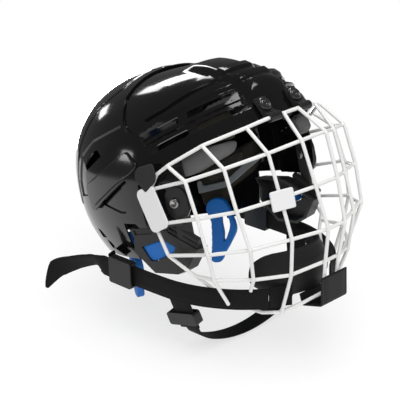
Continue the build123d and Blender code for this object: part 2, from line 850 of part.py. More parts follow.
def make_ear_cover():
    """Moulded cover around the left ear, open on its inner side, with its arm to the temple screw."""
    inner_face = ear_cover_face - ear_cover_depth
    cover = ear_slab(ear_points(ear_outline_shares), inner_face, ear_cover_face, ear_toe_in_angle)
    cover -= ear_slab(ear_points(ear_outline_shares, -ear_cover_wall * 1.4), inner_face,
                      ear_cover_face - ear_cover_wall, ear_toe_in_angle)
    cover -= left_prism(side_face(*ear_points(ear_window_shares)))
    slot = ear_points(ear_slot_shares)
    cover -= ear_slab(slot, ear_cover_face - ear_cover_wall / 2, ear_cover_face + ear_cover_wall)
    for step in (0.2, 1.8):
        cover += ear_roll(step)
    arm = Box(temple_screw_level - ear_arm_foot + ear_arm_rise, ear_arm_width, ear_cover_wall,
              align=(Align.MAX, Align.CENTER, Align.MAX))
    arm = temple_plane() * (Pos(ear_arm_rise, 0, -temple_wall - ear_arm_gap) * arm)
    return toe_in(cover) + arm - temple_screw_bore()


def make_ear_foam():
    """Ear pad that shows through the window of the left ear cover."""
    front = ear_cover_face - ear_cover_wall - seat_gap
    foam = ear_slab(ear_points(ear_window_shares, ear_foam_margin), front - ear_foam_thickness, front)
    foam += ear_slab(ear_points(ear_window_shares, -3 * seat_gap), front - seat_gap, front + ear_foam_proud)
    return toe_in(foam)


def temple_plane():
    """Plane tangent to the shell at the left temple screw, with its x axis up and its y axis forward."""
    surface = side_of_dome(-temple_screw_forward, temple_screw_level)
    normal = Vector(surface / shell_half_width ** 2, -temple_screw_forward / shell_front ** 2, 0).normalized()
    return Plane(origin=(surface, -temple_screw_forward, temple_screw_level), x_dir=(0, 0, 1), z_dir=normal)


def temple_screw_bore():
    """Hole through the left temple, square to its surface."""
    return temple_plane() * Cylinder(temple_screw_radius + hole_clearance, cut_overrun)


def make_temple_plate():
    """Rounded plate outside the left temple, under the screw."""
    plate = extrude(SlotOverall(temple_plate_height, temple_plate_width), amount=temple_plate_thickness)
    return temple_plane() * (Pos(0, temple_plate_shift, seat_gap) * plate) - temple_screw_bore()


def make_temple_screw():
    """Screw through the temple plate, the shell and the ear cover's arm."""
    lift = 2 * seat_gap + temple_plate_thickness
    depth = temple_wall + ear_arm_gap + ear_cover_wall + seat_gap + temple_nut_height
    head = Cylinder(temple_screw_head_radius, temple_screw_head_height,
                    align=(Align.CENTER, Align.CENTER, Align.MIN))
    shank = Cylinder(temple_screw_radius, lift + depth, align=(Align.CENTER, Align.CENTER, Align.MAX))
    return temple_plane() * (Pos(0, 0, lift) * (head + shank))


def make_temple_nut():
    """Flat nut behind the ear cover's arm."""
    nut = Cylinder(temple_nut_radius, temple_nut_height, align=(Align.CENTER, Align.CENTER, Align.MAX))
    depth = temple_wall + ear_arm_gap + ear_cover_wall + seat_gap
    return temple_plane() * (Pos(0, 0, -depth) * nut) - temple_screw_bore()


# Strap tab outline as shares of its width and length, from its middle
tab_shares = [(0.293, 0.333), (-0.500, 0.481), (-0.500, -0.111), (0.086, -0.519), (0.500, -0.037)]


def tab_face(gap):
    """Side view of the strap tab, grown by a gap all round."""
    width, length = tab_width + 2 * gap, tab_length + 2 * gap
    points = [(y * width - tab_mid_forward, z * length + tab_mid_level) for y, z in tab_shares]
    return rounded_side_face(points, tab_corner)


def make_side_plate():
    """White plate over the ends of the cage wires on the left, notched for the tab."""
    face = Pos(-plate_mid_forward, plate_mid_level) * Rot(0, 0, -plate_lean_angle) * RectangleRounded(
        plate_width, plate_length, plate_corner)
    plate = Pos(plate_face_in, 0, 0) * extrude(Plane.YZ * face, amount=plate_thickness)
    return plate - left_prism(tab_face(tab_gap))


def make_strap_tab():
    """Soft tab that snaps the left side of the cage to the shell."""
    return Pos(tab_face_in, 0, 0) * extrude(tab_face(0), amount=tab_thickness)


def make_snap_stud():
    """Snap stud on the left of the shell, under the tab."""
    foot = side_of_dome(-tab_mid_forward, tab_mid_level, wing_inset) + stud_lift
    stud = Cylinder(stud_radius, tab_face_in - seat_gap - foot, align=(Align.CENTER, Align.CENTER, Align.MIN))
    return Pos(foot, -tab_mid_forward, tab_mid_level) * Rot(0, 90, 0) * stud


def cup_profile(inset, thickness):
    """Section of a chin cup layer: radius and level."""
    outer = cup_radius - inset
    middle = (cup_top + cup_bottom) / 2
    top, bottom = outer - cup_top_inset, outer - cup_bottom_inset
    outside = ThreePointArc((top, cup_top), (outer, middle), (bottom, cup_bottom))
    inside = ThreePointArc((bottom - thickness, cup_bottom), (outer - thickness, middle),
                           (top - thickness, cup_top))
    lower = Line((bottom, cup_bottom), (bottom - thickness, cup_bottom))
    upper = Line((top - thickness, cup_top), (top, cup_top))
    return make_face([outside, lower, inside, upper])


def make_cup_layer(inset, thickness, arc):
    """Layer of the chin cup, swept about an upright axis and centred on the front."""
    layer = revolve(Plane.XZ * cup_profile(inset, thickness), axis=Axis.Z, revolution_arc=arc)
    angle = math.degrees(math.atan2(layer.center().Y, layer.center().X))
    return Pos(0, -cup_centre_forward, 0) * Rot(0, 0, -90 - angle) * layer


def make_chin_wrap():
    """Sleeve around the bottom wires in front of the chin cup."""
    bottom = wrap_low_level - wrap_thickness
    seat = cup_bottom - seat_gap
    return extrude(side_face(
        (-wrap_top_forward, wrap_top_level), (-wrap_low_forward, wrap_low_level),
        (-wrap_low_forward + wrap_thickness, bottom), (-wrap_back_forward, bottom),
        (-wrap_back_forward, seat),
        (-wrap_back_forward - wrap_thickness, seat), (-wrap_back_forward - wrap_thickness, wrap_low_level),
        (-wrap_low_forward + 2 * wrap_thickness, wrap_low_level),
        (-wrap_top_forward + wrap_thickness, wrap_top_level)), amount=wrap_width / 2, both=True)


def band(path_points, width, thickness, across_dir=(0, 0, 1)):
    """Flat strap along a route in one plane, its width along the given direction."""
    radii = []
    for before, here, after in zip(path_points, path_points[1:], path_points[2:]):
        arm = min((here - before).length, (after - here).length)
        turn = math.radians((here - before).get_angle(after - here))
        radii.append(0.45 * arm / max(math.tan(turn / 2), 0.001))
    path = FilletPolyline(*path_points, radius=radii) if radii else Line(*path_points)
    start = Plane(origin=path @ 0, x_dir=across_dir, z_dir=path % 0)
    return sweep(start * Rectangle(width, thickness), path=path)


# Plan routes of the straps as shares of the cage's half-width and reach
chin_strap_shares = [(0.952, -0.440), (0.952, 0.035), (0.895, 0.267), (0.755, 0.463), (0.600, 0.595),
                     (0.480, 0.660)]
cup_strap_shares = [(0.470, 0.6625), (0.372, 0.675), (0.273, 0.733)]
anchor_shares = [(0.917, 0.409), (0.861, 0.433), (0.800, 0.442)]


def plan_point(x_share, y_share):
    """Point of a strap's plan route, at level zero."""
    return Vector(x_share * cage_half_width, -y_share * cage_reach, 0)


def lay_strap(solid):
    """Lower and tilt a piece of the chin strap, which falls towards the front."""
    return Pos(0, 0, cage_top - strap_level_share * cage_drop) * Rot(chin_strap_angle, 0, 0) * solid


def make_chin_strap():
    """Left chin strap from behind its slider to the chin cup."""
    points = [plan_point(*share) for share in chin_strap_shares]
    return lay_strap(band(points, webbing_width, webbing_thickness))


def make_cup_strap():
    """End of the webbing on the left of the chin cup."""
    points = [plan_point(*share) for share in cup_strap_shares]
    return lay_strap(band(points, webbing_width, webbing_thickness))


def make_slider():
    """Slider on the left chin strap, with room for the strap and its loose end."""
    block = Box(slider_thickness, slider_length, slider_height)
    block = fillet(block.edges().filter_by(Axis.X), slider_corner)
    passage = Box(2 * webbing_thickness + layer_gap + 2 * slot_clearance, 2 * slider_length,
                  webbing_width + 2 * slot_clearance)
    x = plan_point(*chin_strap_shares[0]).X + (webbing_thickness + layer_gap) / 2
    return lay_strap(Pos(x, slider_mid_back, 0) * (block - passage))


# Loose end: out, back and up as shares of its length, roll in degrees and share of the width
tail_shares = [(0, 0, 0, 0, 1), (0, 0.244, 0, 0, 1), (0.006, 0.335, 0.012, 25, 1),
               (0.018, 0.443, 0.015, 42, 1),
               (0.087, 0.664, -0.062, 33, 1), (0.158, 0.876, -0.172, 12, 1), (0.241, 0.993, -0.323, 8, 0.3)]


def make_tail():
    """Loose end of the chin strap behind its slider, a flat ribbon that turns as it goes."""
    start = Vector(plan_point(*chin_strap_shares[0]).X + webbing_thickness + layer_gap, tail_start_back, 0)
    centres = [start + Vector(out, back, up) * tail_length for out, back, up, _, _ in tail_shares]
    sections = []
    for index, row in enumerate(tail_shares):
        along = (centres[min(index + 1, len(centres) - 1)] - centres[max(index - 1, 0)]).normalized()
        side = along.cross(Vector(0, 0, 1)).normalized()
        lean = math.radians(row[3])
        edge = side.cross(along) * math.cos(lean) + side * math.sin(lean)
        plane = Plane(origin=centres[index], x_dir=edge, z_dir=along)
        sections.append(plane * Rectangle(webbing_width * row[4], webbing_thickness))
    return lay_strap(loft(sections, ruled=True))


def make_strap_anchor():
    """Webbing tab on the left of the rear shell, above the slider."""
    points = [Vector(x * shell_half_width, y * shell_back, anchor_level) for x, y in anchor_shares]
    return band(points, anchor_height, webbing_thickness)


def drop_place(depth, inward):
    """Place on the left drop strap: depth below its top and distance inward."""
    return Pos(drop_left, -drop_forward, drop_top) * Rot(0, drop_lean_angle, 0) * Pos(-inward, 0, -depth)


def make_drop_strap():
    """Short strap that hangs inside the left chin strap down to the lower slider."""
    strap = Box(webbing_thickness, drop_width, drop_length, align=(Align.CENTER, Align.CENTER, Align.MAX))
    return drop_place(0, 0) * strap


def make_lower_slider():
    """Slider on the left drop strap, with room for it and the throat strap's end."""
    layers = webbing_thickness + throat_gap
    block = Box(lower_slider_thickness, lower_slider_length, lower_slider_height)
    block = Pos(0, lower_slider_shift, 0) * block
    block = fillet(block.edges().filter_by(Axis.X), slider_corner)
    passage = Box(lower_passage_thickness, drop_width + 2 * slot_clearance, 2 * lower_slider_height)
    return drop_place(lower_slider_depth, layers / 2) * (block - passage)


# Route of the hanging throat strap as shares of its bend's distance out and of the drop to its foot
throat_shares = [(0.829, 0.41), (0.600, 0.706), (0.320, 0.918), (0, 1)]


def make_throat_strap():
    """Webbing that hangs under the chin between the lower sliders."""
    layers = webbing_thickness + throat_gap
    top, bend = [drop_place(depth, layers).position for depth in (throat_top_depth, throat_bend_depth)]
    half = [Vector(top.X, 0, top.Z), Vector(bend.X, 0, bend.Z)]
    half += [Vector(bend.X * x, 0, bend.Z + z * (throat_foot - bend.Z)) for x, z in throat_shares]
    points = half + [Vector(-p.X, 0, p.Z) for p in reversed(half[:-1])]
    strap = band(points, throat_width, webbing_thickness, (0, 1, 0))
    pivot_level = drop_place(lower_slider_depth, 0).position.Z
    return Pos(0, -drop_forward, pivot_level) * Rot(throat_angle, 0, 0) * Pos(0, 0, -pivot_level) * strap


parts["front_shell"] = make_front_shell()
parts["rear_shell"] = make_rear_shell()
parts["adjust_screws"] = both_sides(make_adjust_screw())
add_pair("side_panel", make_side_panel())
parts["forehead_clips"] = Compound(children=[make_forehead_clip(side) for side in (-1, 1)])
parts["clip_fasteners"] = Compound(children=[
    make(side) for make in (make_clip_screw, make_clip_nut) for side in (-1, 1)])
parts["brow_liner"] = pad_group(brow_pad_shares, brow_depth + clip_nut_height + 2 * seat_gap)
parts["crown_liner"] = pad_group(crown_pad_shares, crown_inner)
parts["rear_liner"] = pad_group(rear_pad_shares, rear_wall)
add_pair("temple_pad", make_temple_pad())
add_pair("side_liner", make_side_liner())
add_pair("liner_band", make_liner_band())
add_pair("mesh_patch", make_mesh_patch())
add_pair("nape_pad", make_nape_pad())
add_pair("ear_cover", make_ear_cover())
add_pair("ear_foam", make_ear_foam())
add_pair("temple_plate", make_temple_plate())
parts["temple_fasteners"] = both_sides(make_temple_screw(), make_temple_nut())
parts["snap_studs"] = both_sides(make_snap_stud())
add_pair("side_plate", make_side_plate())
add_pair("strap_tab", make_strap_tab())
parts["cage_top_bar"] = make_top_bar()
parts["cage_brow_bar"] = bar(brow_bar_shares)
parts["cage_eye_bar"] = bar(eye_bar_shares)
parts["cage_nose_bar"] = bar(nose_bar_shares)
parts["cage_mouth_bar"] = bar(mouth_bar_shares)
parts["cage_rim"] = bar(rim_shares)
for column, (upright_name, end_share) in enumerate(zip(upright_names, upright_end_shares)):
    parts[upright_name] = both_sides(upright(column, end_share))
parts["wire_tag"] = make_wire_tag()
parts["chin_cup"] = make_cup_layer(0, cup_wall, 180)
parts["chin_cup_pad"] = make_cup_layer(cup_wall + seat_gap, cup_pad_thickness, 168)
parts["cup_straps"] = both_sides(make_cup_strap())
parts["chin_wrap"] = make_chin_wrap()
add_pair("chin_strap", make_chin_strap())
add_pair("strap_tail", make_tail())
add_pair("slider", make_slider())
add_pair("drop_strap", make_drop_strap())
add_pair("lower_slider", make_lower_slider())
parts["throat_strap"] = make_throat_strap()
parts["strap_anchors"] = both_sides(make_strap_anchor())

if __name__ == "__main__":
    os.makedirs("parts", exist_ok=True)
    for name, solid in parts.items():
        export_step(solid, os.path.join("parts", name + ".step"))
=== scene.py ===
"""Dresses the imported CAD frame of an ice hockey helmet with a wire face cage.

The wearer faces -Y, the wearer's left is +X and up is +Z. Sizes are in millimetres, meshes are in metres.
"""
import logging
import math
from collections.abc import Sequence
from dataclasses import dataclass, field
from enum import Enum

import bmesh
import bpy
from mathutils import Matrix, Vector, noise


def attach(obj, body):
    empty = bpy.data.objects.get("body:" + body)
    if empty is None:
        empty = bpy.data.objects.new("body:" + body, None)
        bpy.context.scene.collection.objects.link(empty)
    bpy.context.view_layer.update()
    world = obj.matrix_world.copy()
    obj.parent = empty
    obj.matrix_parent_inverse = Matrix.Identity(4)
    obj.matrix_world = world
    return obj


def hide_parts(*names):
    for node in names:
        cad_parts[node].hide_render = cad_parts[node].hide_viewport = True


MM = 0.001
LOG = logging.getLogger("helmet")
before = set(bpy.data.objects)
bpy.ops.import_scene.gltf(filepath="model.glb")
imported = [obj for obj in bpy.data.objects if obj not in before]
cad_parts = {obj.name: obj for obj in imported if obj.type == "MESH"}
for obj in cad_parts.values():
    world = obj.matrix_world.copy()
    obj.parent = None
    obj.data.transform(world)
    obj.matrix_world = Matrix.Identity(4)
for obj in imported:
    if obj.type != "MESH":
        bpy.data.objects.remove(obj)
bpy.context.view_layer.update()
Pair = tuple[float, float]
Colour = tuple[float, float, float]
WHITE = (1.0, 1.0, 1.0, 1.0)

# The two coordinates of the side view
SIDE_VIEW = (1, 2)

# How tight the moulded foam pads and the cup's lining are
PAD_FILL = 0.9
LINING_FILL = 0.8


class Side(Enum):
    """The wearer's left and right, with the sign of their x."""

    LEFT = 1
    RIGHT = -1

    def node(self, stem: str) -> str:
        """Name of this side's node."""
        return f"{stem}_{self.name.lower()}"


class Texture(Enum):
    """Shader node groups that the finishes share."""

    MOULDED = "moulded_skin"
    WOVEN = "woven_webbing"
    FOAM = "foam_cells"
    NET = "punched_net"


class Graph:
    """Adds and links shader nodes in one node tree."""

    def __init__(self, tree: bpy.types.NodeTree) -> None:
        """Keeps the tree that gets the nodes."""
        self.tree = tree

    def add(self, kind: str, inputs: dict[str | int, object] | None = None,
            **settings: object) -> bpy.types.Node:
        """Adds a node.

        Args:
            kind: node type without its ShaderNode prefix.
            inputs: values or source sockets by input name or number.
            settings: properties of the node.

        Returns:
            The new node.
        """
        node = self.tree.nodes.new("ShaderNode" + kind)
        for key, value in settings.items():
            setattr(node, key, value)
        for key, value in (inputs or {}).items():
            if isinstance(value, bpy.types.NodeSocket):
                self.tree.links.new(value, node.inputs[key])
            else:
                node.inputs[key].default_value = value
        return node

    def math(self, operation: str, a: object, b: object = 0.0) -> bpy.types.NodeSocket:
        """Output of a Math node on two values or sockets."""
        return self.add("Math", {0: a, 1: b}, operation=operation).outputs[0]

    def mix(self, factor: object, a: object, b: object) -> bpy.types.NodeSocket:
        """Mixed colour of two colours or sockets."""
        return self.add("Mix", {0: factor, 6: a, 7: b}, data_type="RGBA").outputs[2]

    def noise(self, place: object, scale: object, detail: float) -> bpy.types.NodeSocket:
        """Value of a Noise Texture at a place."""
        return self.add("TexNoise", {"Vector": place, "Scale": scale, "Detail": detail}).outputs["Fac"]


class TextureGroup:
    """One shared shader group with the sockets that every texture has."""

    marks_scale = 38.0

    def __init__(self, texture: Texture) -> None:
        """Makes the group and its sockets.

        Args:
            texture: names the group.
        """
        tree = bpy.data.node_groups.new(texture.value, "ShaderNodeTree")
        for name in ("Colour", "Second"):
            tree.interface.new_socket(name, in_out="INPUT", socket_type="NodeSocketColor")
        for name in ("Scale", "Roughness", "Spread", "Wear_and_edge_highlight"):
            tree.interface.new_socket(name, in_out="INPUT", socket_type="NodeSocketFloat")
        tree.interface.new_socket("Colour", in_out="OUTPUT", socket_type="NodeSocketColor")
        for name in ("Roughness", "Height"):
            tree.interface.new_socket(name, in_out="OUTPUT", socket_type="NodeSocketFloat")
        self.graph = Graph(tree)
        self.given = tree.nodes.new("NodeGroupInput").outputs
        self.out = tree.nodes.new("NodeGroupOutput").inputs
        self.place = self.graph.add("TexCoord").outputs["Object"]

    def finish(self, factor: object, height: object) -> bpy.types.NodeTree:
        """Joins the texture to the outputs, with handling marks in the roughness.

        Args:
            factor: share of the second colour.
            height: relief of the surface.

        Returns:
            The group's tree.
        """
        graph, given = self.graph, self.given
        marks = graph.noise(self.place, self.marks_scale, 3.0)
        spread = graph.math("MULTIPLY", graph.math("SUBTRACT", marks, 0.5), given["Spread"])
        graph.tree.links.new(graph.mix(factor, given["Colour"], given["Second"]), self.out["Colour"])
        graph.tree.links.new(graph.math("ADD", given["Roughness"], spread), self.out["Roughness"])
        graph.tree.links.new(height, self.out["Height"])
        return graph.tree


def moulded_skin() -> bpy.types.NodeTree:
    """Moulded plastic or powder coat: fine grain, faint haze, and convex edges that take the second colour,
    partly as wear and partly as a painted edge highlight.

    Returns:
        The group's tree.
    """
    group = TextureGroup(Texture.MOULDED)
    graph = group.graph
    grain = graph.noise(group.place, group.given["Scale"], 4.0)
    haze = graph.noise(group.place, 24.0, 2.0)
    # Convex edges take the second colour: partly rubbed wear, partly a painted highlight where the edges
    # catch the light.
    point = graph.add("NewGeometry").outputs["Pointiness"]
    edge = graph.add("MapRange", {0: point, 1: 0.515, 2: 0.60, 3: 0.0, 4: 1.0}).outputs[0]
    wear_and_edge_highlight = graph.math("MULTIPLY", graph.math("MULTIPLY", edge, grain), group.given["Wear_and_edge_highlight"])
    return group.finish(graph.math("ADD", graph.math("MULTIPLY", haze, 0.3), wear_and_edge_highlight), grain)


def woven_webbing() -> bpy.types.NodeTree:
    """Woven strap: ribs across and threads along, laid on the strap's own run map.

    Returns:
        The group's tree.
    """
    group = TextureGroup(Texture.WOVEN)
    graph = group.graph
    parts = graph.add("SeparateXYZ", {0: graph.add("UVMap", uv_map="run").outputs["UV"]}).outputs
    along, across = [graph.math("SINE", graph.math("MULTIPLY", parts[axis], group.given["Scale"]))
                     for axis in (0, 1)]
    crossing = graph.math("MULTIPLY", graph.math("MULTIPLY", along, across), 0.5)
    weave = graph.math("ADD", crossing, 0.5)
    return group.finish(weave, weave)


def foam_cells() -> bpy.types.NodeTree:
    """Moulded foam skin: small closed cells and soft blotches.

    Returns:
        The group's tree.
    """
    group = TextureGroup(Texture.FOAM)
    graph = group.graph
    cells = graph.add("TexVoronoi", {"Vector": group.place, "Scale": group.given["Scale"]})
    cells = cells.outputs["Distance"]
    blotch = graph.noise(group.place, 55.0, 5.0)
    factor = graph.math("ADD", graph.math("MULTIPLY", cells, 0.35), graph.math("MULTIPLY", blotch, 0.5))
    return group.finish(factor, graph.math("ADD", cells, blotch))


def punched_net() -> bpy.types.NodeTree:
    """Net with rows of round holes, seen from the side of the helmet.

    Returns:
        The group's tree.
    """
    group = TextureGroup(Texture.NET)
    graph = group.graph
    parts = graph.add("SeparateXYZ", {0: group.place}).outputs
    rows = [graph.math("SINE", graph.math("MULTIPLY", graph.math(kind, parts[1], parts[2]),
                                          group.given["Scale"])) for kind in ("ADD", "SUBTRACT")]
    dots = graph.math("MULTIPLY", *rows)
    mask = graph.add("MapRange", {0: dots, 1: 0.10, 2: 0.45, 3: 0.0, 4: 1.0}).outputs[0]
    return group.finish(mask, mask)


GROUPS: dict[Texture, bpy.types.NodeTree] = {
    Texture.MOULDED: moulded_skin(), Texture.WOVEN: woven_webbing(), Texture.FOAM: foam_cells(),
    Texture.NET: punched_net()}


@dataclass(frozen=True)
class Finish:
    """One surface finish; colours are linear and depth is the relief's height in metres."""

    name: str
    colour: Colour
    second: Colour
    texture: Texture = Texture.MOULDED
    scale: float = 900.0
    roughness: float = 0.5
    spread: float = 0.12
    # Share of the second colour on convex edges: partly wear, partly a painted edge highlight.
    wear_and_edge_highlight: float = 0.5
    depth: float = 0.00005
    bump: float = 0.25
    ior: float = 1.5
    metallic: float = 0.0
    coat: float = 0.0
    coat_roughness: float = 0.06

    def material(self) -> bpy.types.Material:
        """Material of the finish, built the first time it is asked for.

        Returns:
            The material.
        """
        found = bpy.data.materials.get("finish_" + self.name)
        if found:
            return found
        made, graph = empty_material("finish_" + self.name)
        group = graph.add("Group", node_tree=GROUPS[self.texture])
        values = {"Colour": (*self.colour, 1.0), "Second": (*self.second, 1.0), "Scale": self.scale,
                  "Roughness": self.roughness, "Spread": self.spread, "Wear_and_edge_highlight": self.wear_and_edge_highlight}
        for key, value in values.items():
            group.inputs[key].default_value = value
        bump = graph.add("Bump", {"Height": group.outputs["Height"], "Strength": self.bump,
                                  "Distance": self.depth})
        shader = graph.add("BsdfPrincipled", {
            "Base Color": group.outputs["Colour"], "Roughness": group.outputs["Roughness"],
            "Normal": bump.outputs["Normal"], "IOR": self.ior, "Metallic": self.metallic,
            "Coat Weight": self.coat, "Coat Roughness": self.coat_roughness})
        graph.add("OutputMaterial", {"Surface": shader.outputs[0]})
        return made


def empty_material(name: str) -> tuple[bpy.types.Material, Graph]:
    """Material with no nodes.

    Args:
        name: name of the material.

    Returns:
        The material and the graph that fills it.
    """
    made = bpy.data.materials.new(name)
    made.use_nodes = True
    made.node_tree.nodes.clear()
    return made, Graph(made.node_tree)


SHELL = Finish("shell_gloss", (0.004, 0.004, 0.0045), (0.010, 0.010, 0.011), scale=420.0, roughness=0.10,
               spread=0.05, wear_and_edge_highlight=0.25, bump=0.02, ior=1.45)
PANEL = Finish("panel_gloss", (0.006, 0.006, 0.007), (0.012, 0.012, 0.013), roughness=0.13, spread=0.06,
               bump=0.03)
MOULD = Finish("hardware_black", (0.010, 0.010, 0.011), (0.030, 0.030, 0.032), roughness=0.30, bump=0.15,
               ior=1.35)
SCREW = Finish("screw_black", (0.008, 0.008, 0.009), (0.06, 0.06, 0.06), roughness=0.20, coat=0.4)
STEEL = Finish("screw_steel", (0.42, 0.41, 0.40), (0.20, 0.20, 0.20), roughness=0.28, metallic=1.0)
FOAM = Finish("foam_brown_black", (0.020, 0.018, 0.014), (0.048, 0.042, 0.031), Texture.FOAM, 700.0, 0.85,
              depth=0.0003, bump=0.5, ior=1.3)
FOAM_DARK = Finish("foam_black", (0.006, 0.006, 0.006), (0.018, 0.017, 0.016), Texture.FOAM, 700.0, 0.8,
                   depth=0.0003, bump=0.5, ior=1.25)
FOAM_GREY = Finish("foam_grey", (0.08, 0.08, 0.08), (0.14, 0.14, 0.14), Texture.FOAM, 800.0, 0.8,
                   depth=0.0002, bump=0.4)
BAND = Finish("band_silver", (0.22, 0.24, 0.25), (0.32, 0.34, 0.35), roughness=0.38, wear_and_edge_highlight=0.3)
NET = Finish("net_black", (0.006, 0.006, 0.006), (0.10, 0.09, 0.075), Texture.NET, 1900.0, 0.75,
             depth=0.0004, bump=0.6)
BLUE = Finish("foam_blue", (0.0, 0.10, 0.40), (0.0, 0.16, 0.55), Texture.FOAM, 900.0, 0.62, depth=0.0002,
              bump=0.35)
COVER = Finish("cover_grey", (0.018, 0.018, 0.018), (0.045, 0.044, 0.043), roughness=0.42, spread=0.2,
               ior=1.35)
CAGE = Finish("cage_white", (0.80, 0.80, 0.79), (0.70, 0.70, 0.69), scale=1400.0, roughness=0.34, wear_and_edge_highlight=0.1,
              bump=0.1)
PLATE = Finish("plate_white", (0.78, 0.78, 0.78), (0.70, 0.70, 0.70), roughness=0.42, wear_and_edge_highlight=0.1)
TAB = Finish("tab_matt", (0.022, 0.022, 0.023), (0.036, 0.036, 0.038), Texture.FOAM, 1500.0, 0.85, bump=0.2,
             ior=1.3)
CUP = Finish("cup_rubber", (0.012, 0.012, 0.0125), (0.030, 0.030, 0.031), scale=1300.0, roughness=0.55,
             bump=0.5, ior=1.3)
CUP_FOAM = Finish("cup_foam", (0.006, 0.006, 0.006), (0.015, 0.015, 0.015), Texture.FOAM, 800.0, 0.8,
                  bump=0.5, ior=1.25)
WEBBING = Finish("webbing_black", (0.0035, 0.0035, 0.0035), (0.010, 0.010, 0.010), Texture.WOVEN, 5200.0,
                 0.7, depth=0.0002, bump=0.55, ior=1.25)
SLEEVE = Finish("sleeve_black", (0.006, 0.006, 0.0065), (0.014, 0.014, 0.015), Texture.WOVEN, 4200.0, 0.5,
                depth=0.0001, bump=0.4, ior=1.3)


@dataclass(frozen=True)
class Dome:
    """Helmet form: a fuller ellipsoid over a round skirt, as the CAD source has it.

    An inset is a distance inward from the outer surface.
    """

    half_width: float = 97.6
    front: float = 115.5
    back: float = 165.0
    height: float = 114.0
    level: float = 67.0
    power: float = 2.43
    skirt: float = 140.0
    normal_step: float = 0.05

    def plan_share(self, z: float, inset: float = 0.0) -> float:
        """Plan size at a level.

        Args:
            z: the level.
            inset: distance inward.

        Returns:
            The size as a share of the widest plan.
        """
        if z >= self.level:
            rise = (z - self.level) / (self.height - inset)
            return max(1 - rise ** self.power, 0.0) ** (1 / self.power)
        drop = self.level - z
        return 1 - (self.skirt - math.sqrt(self.skirt ** 2 - drop ** 2)) / (self.half_width - inset)

    def length(self, y: float, inset: float = 0.0) -> float:
        """Half length of the plan in front or behind."""
        return (self.front if y < 0 else self.back) - inset

    def share(self, p: Vector, inset: float = 0.0) -> float:
        """How far out a point lies.

        Args:
            p: the point.
            inset: distance inward of the surface.

        Returns:
            1 on the surface and less inside it.
        """
        flat = math.hypot(p.x / (self.half_width - inset), p.y / self.length(p.y, inset))
        if p.z < self.level:
            return flat / self.plan_share(p.z, inset)
        rise = (p.z - self.level) / (self.height - inset)
        return (flat ** self.power + rise ** self.power) ** (1 / self.power)

    def side(self, y: float, z: float, inset: float = 0.0) -> float:
        """Half width at one place of the side view."""
        inside_plan = self.plan_share(z, inset) ** 2 - (y / self.length(y, inset)) ** 2
        return (self.half_width - inset) * math.sqrt(max(inside_plan, 0.0))

    def point(self, azimuth: float, rise: float) -> Vector:
        """Surface point by its direction.

        Args:
            azimuth: turn about the upright axis in radians, 0 in front.
            rise: 1 at the crown, 0 at the widest level and less below it.

        Returns:
            The point.
        """
        if rise >= 0:
            turn = rise * math.pi / 2
            ring = max(math.cos(turn), 0.0) ** (2 / self.power)
            z = self.level + self.height * math.sin(turn) ** (2 / self.power)
        else:
            z = self.level * (1 + rise)
            ring = self.plan_share(z)
        y = -math.cos(azimuth)
        return Vector((ring * self.half_width * math.sin(azimuth), ring * y * self.length(y), z))

    def normal(self, p: Vector) -> Vector:
        """Outward direction at a point, by small differences.

        Args:
            p: the point.

        Returns:
            The direction.
        """
        steps = [Vector(way) * self.normal_step for way in ((1, 0, 0), (0, 1, 0), (0, 0, 1))]
        return Vector([self.share(p + step) - self.share(p - step) for step in steps]).normalized()


DOME = Dome()


def round_off(points: Sequence[Pair], radius: float, steps: int = 5) -> list[Pair]:
    """Outline with rounded corners.

    Args:
        points: corners.
        radius: distance from a corner at which its bend starts, at most a bit under half an edge.
        steps: points in each bend.

    Returns:
        The new outline.
    """
    made = []
    for before, here, after in zip([points[-1], *points[:-1]], points, [*points[1:], points[0]]):
        h, b, a = Vector(here), Vector(before), Vector(after)
        start = h + (b - h).normalized() * min(radius, (b - h).length * 0.48)
        stop = h + (a - h).normalized() * min(radius, (a - h).length * 0.48)
        for step in range(steps + 1):
            t = step / steps
            made.append(tuple(start * (1 - t) ** 2 + h * 2 * t * (1 - t) + stop * t ** 2))
    return made


def edges_of(outline: Sequence[Pair]) -> list[tuple[Pair, Pair]]:
    """Edges of a closed outline."""
    return list(zip(outline, [*outline[1:], outline[0]]))


def inside(point: Pair, outline: Sequence[Pair]) -> bool:
    """Tells whether a point lies in an outline.

    Args:
        point: the point.
        outline: corners of the outline.

    Returns:
        True inside.
    """
    y, z = point
    found = False
    for (ay, az), (by, bz) in edges_of(outline):
        if (az > z) != (bz > z) and y < ay + (z - az) / (bz - az) * (by - ay):
            found = not found
    return found


def edge_distance(point: Pair, outline: Sequence[Pair]) -> float:
    """Distance from a point to the nearest edge of an outline.

    Args:
        point: the point.
        outline: corners of the outline.

    Returns:
        The distance.
    """
    y, z = point
    best = math.inf
    for (ay, az), (by, bz) in edges_of(outline):
        dy, dz = by - ay, bz - az
        t = max(0.0, min(1.0, ((y - ay) * dy + (z - az) * dz) / max(dy * dy + dz * dz, 1e-9)))
        best = min(best, math.hypot(y - ay - t * dy, z - az - t * dz))
    return best


def turning(outline: Sequence[Pair]) -> float:
    """Signed area of an outline."""
    return sum(a[0] * b[1] - b[0] * a[1] for a, b in edges_of(outline)) / 2


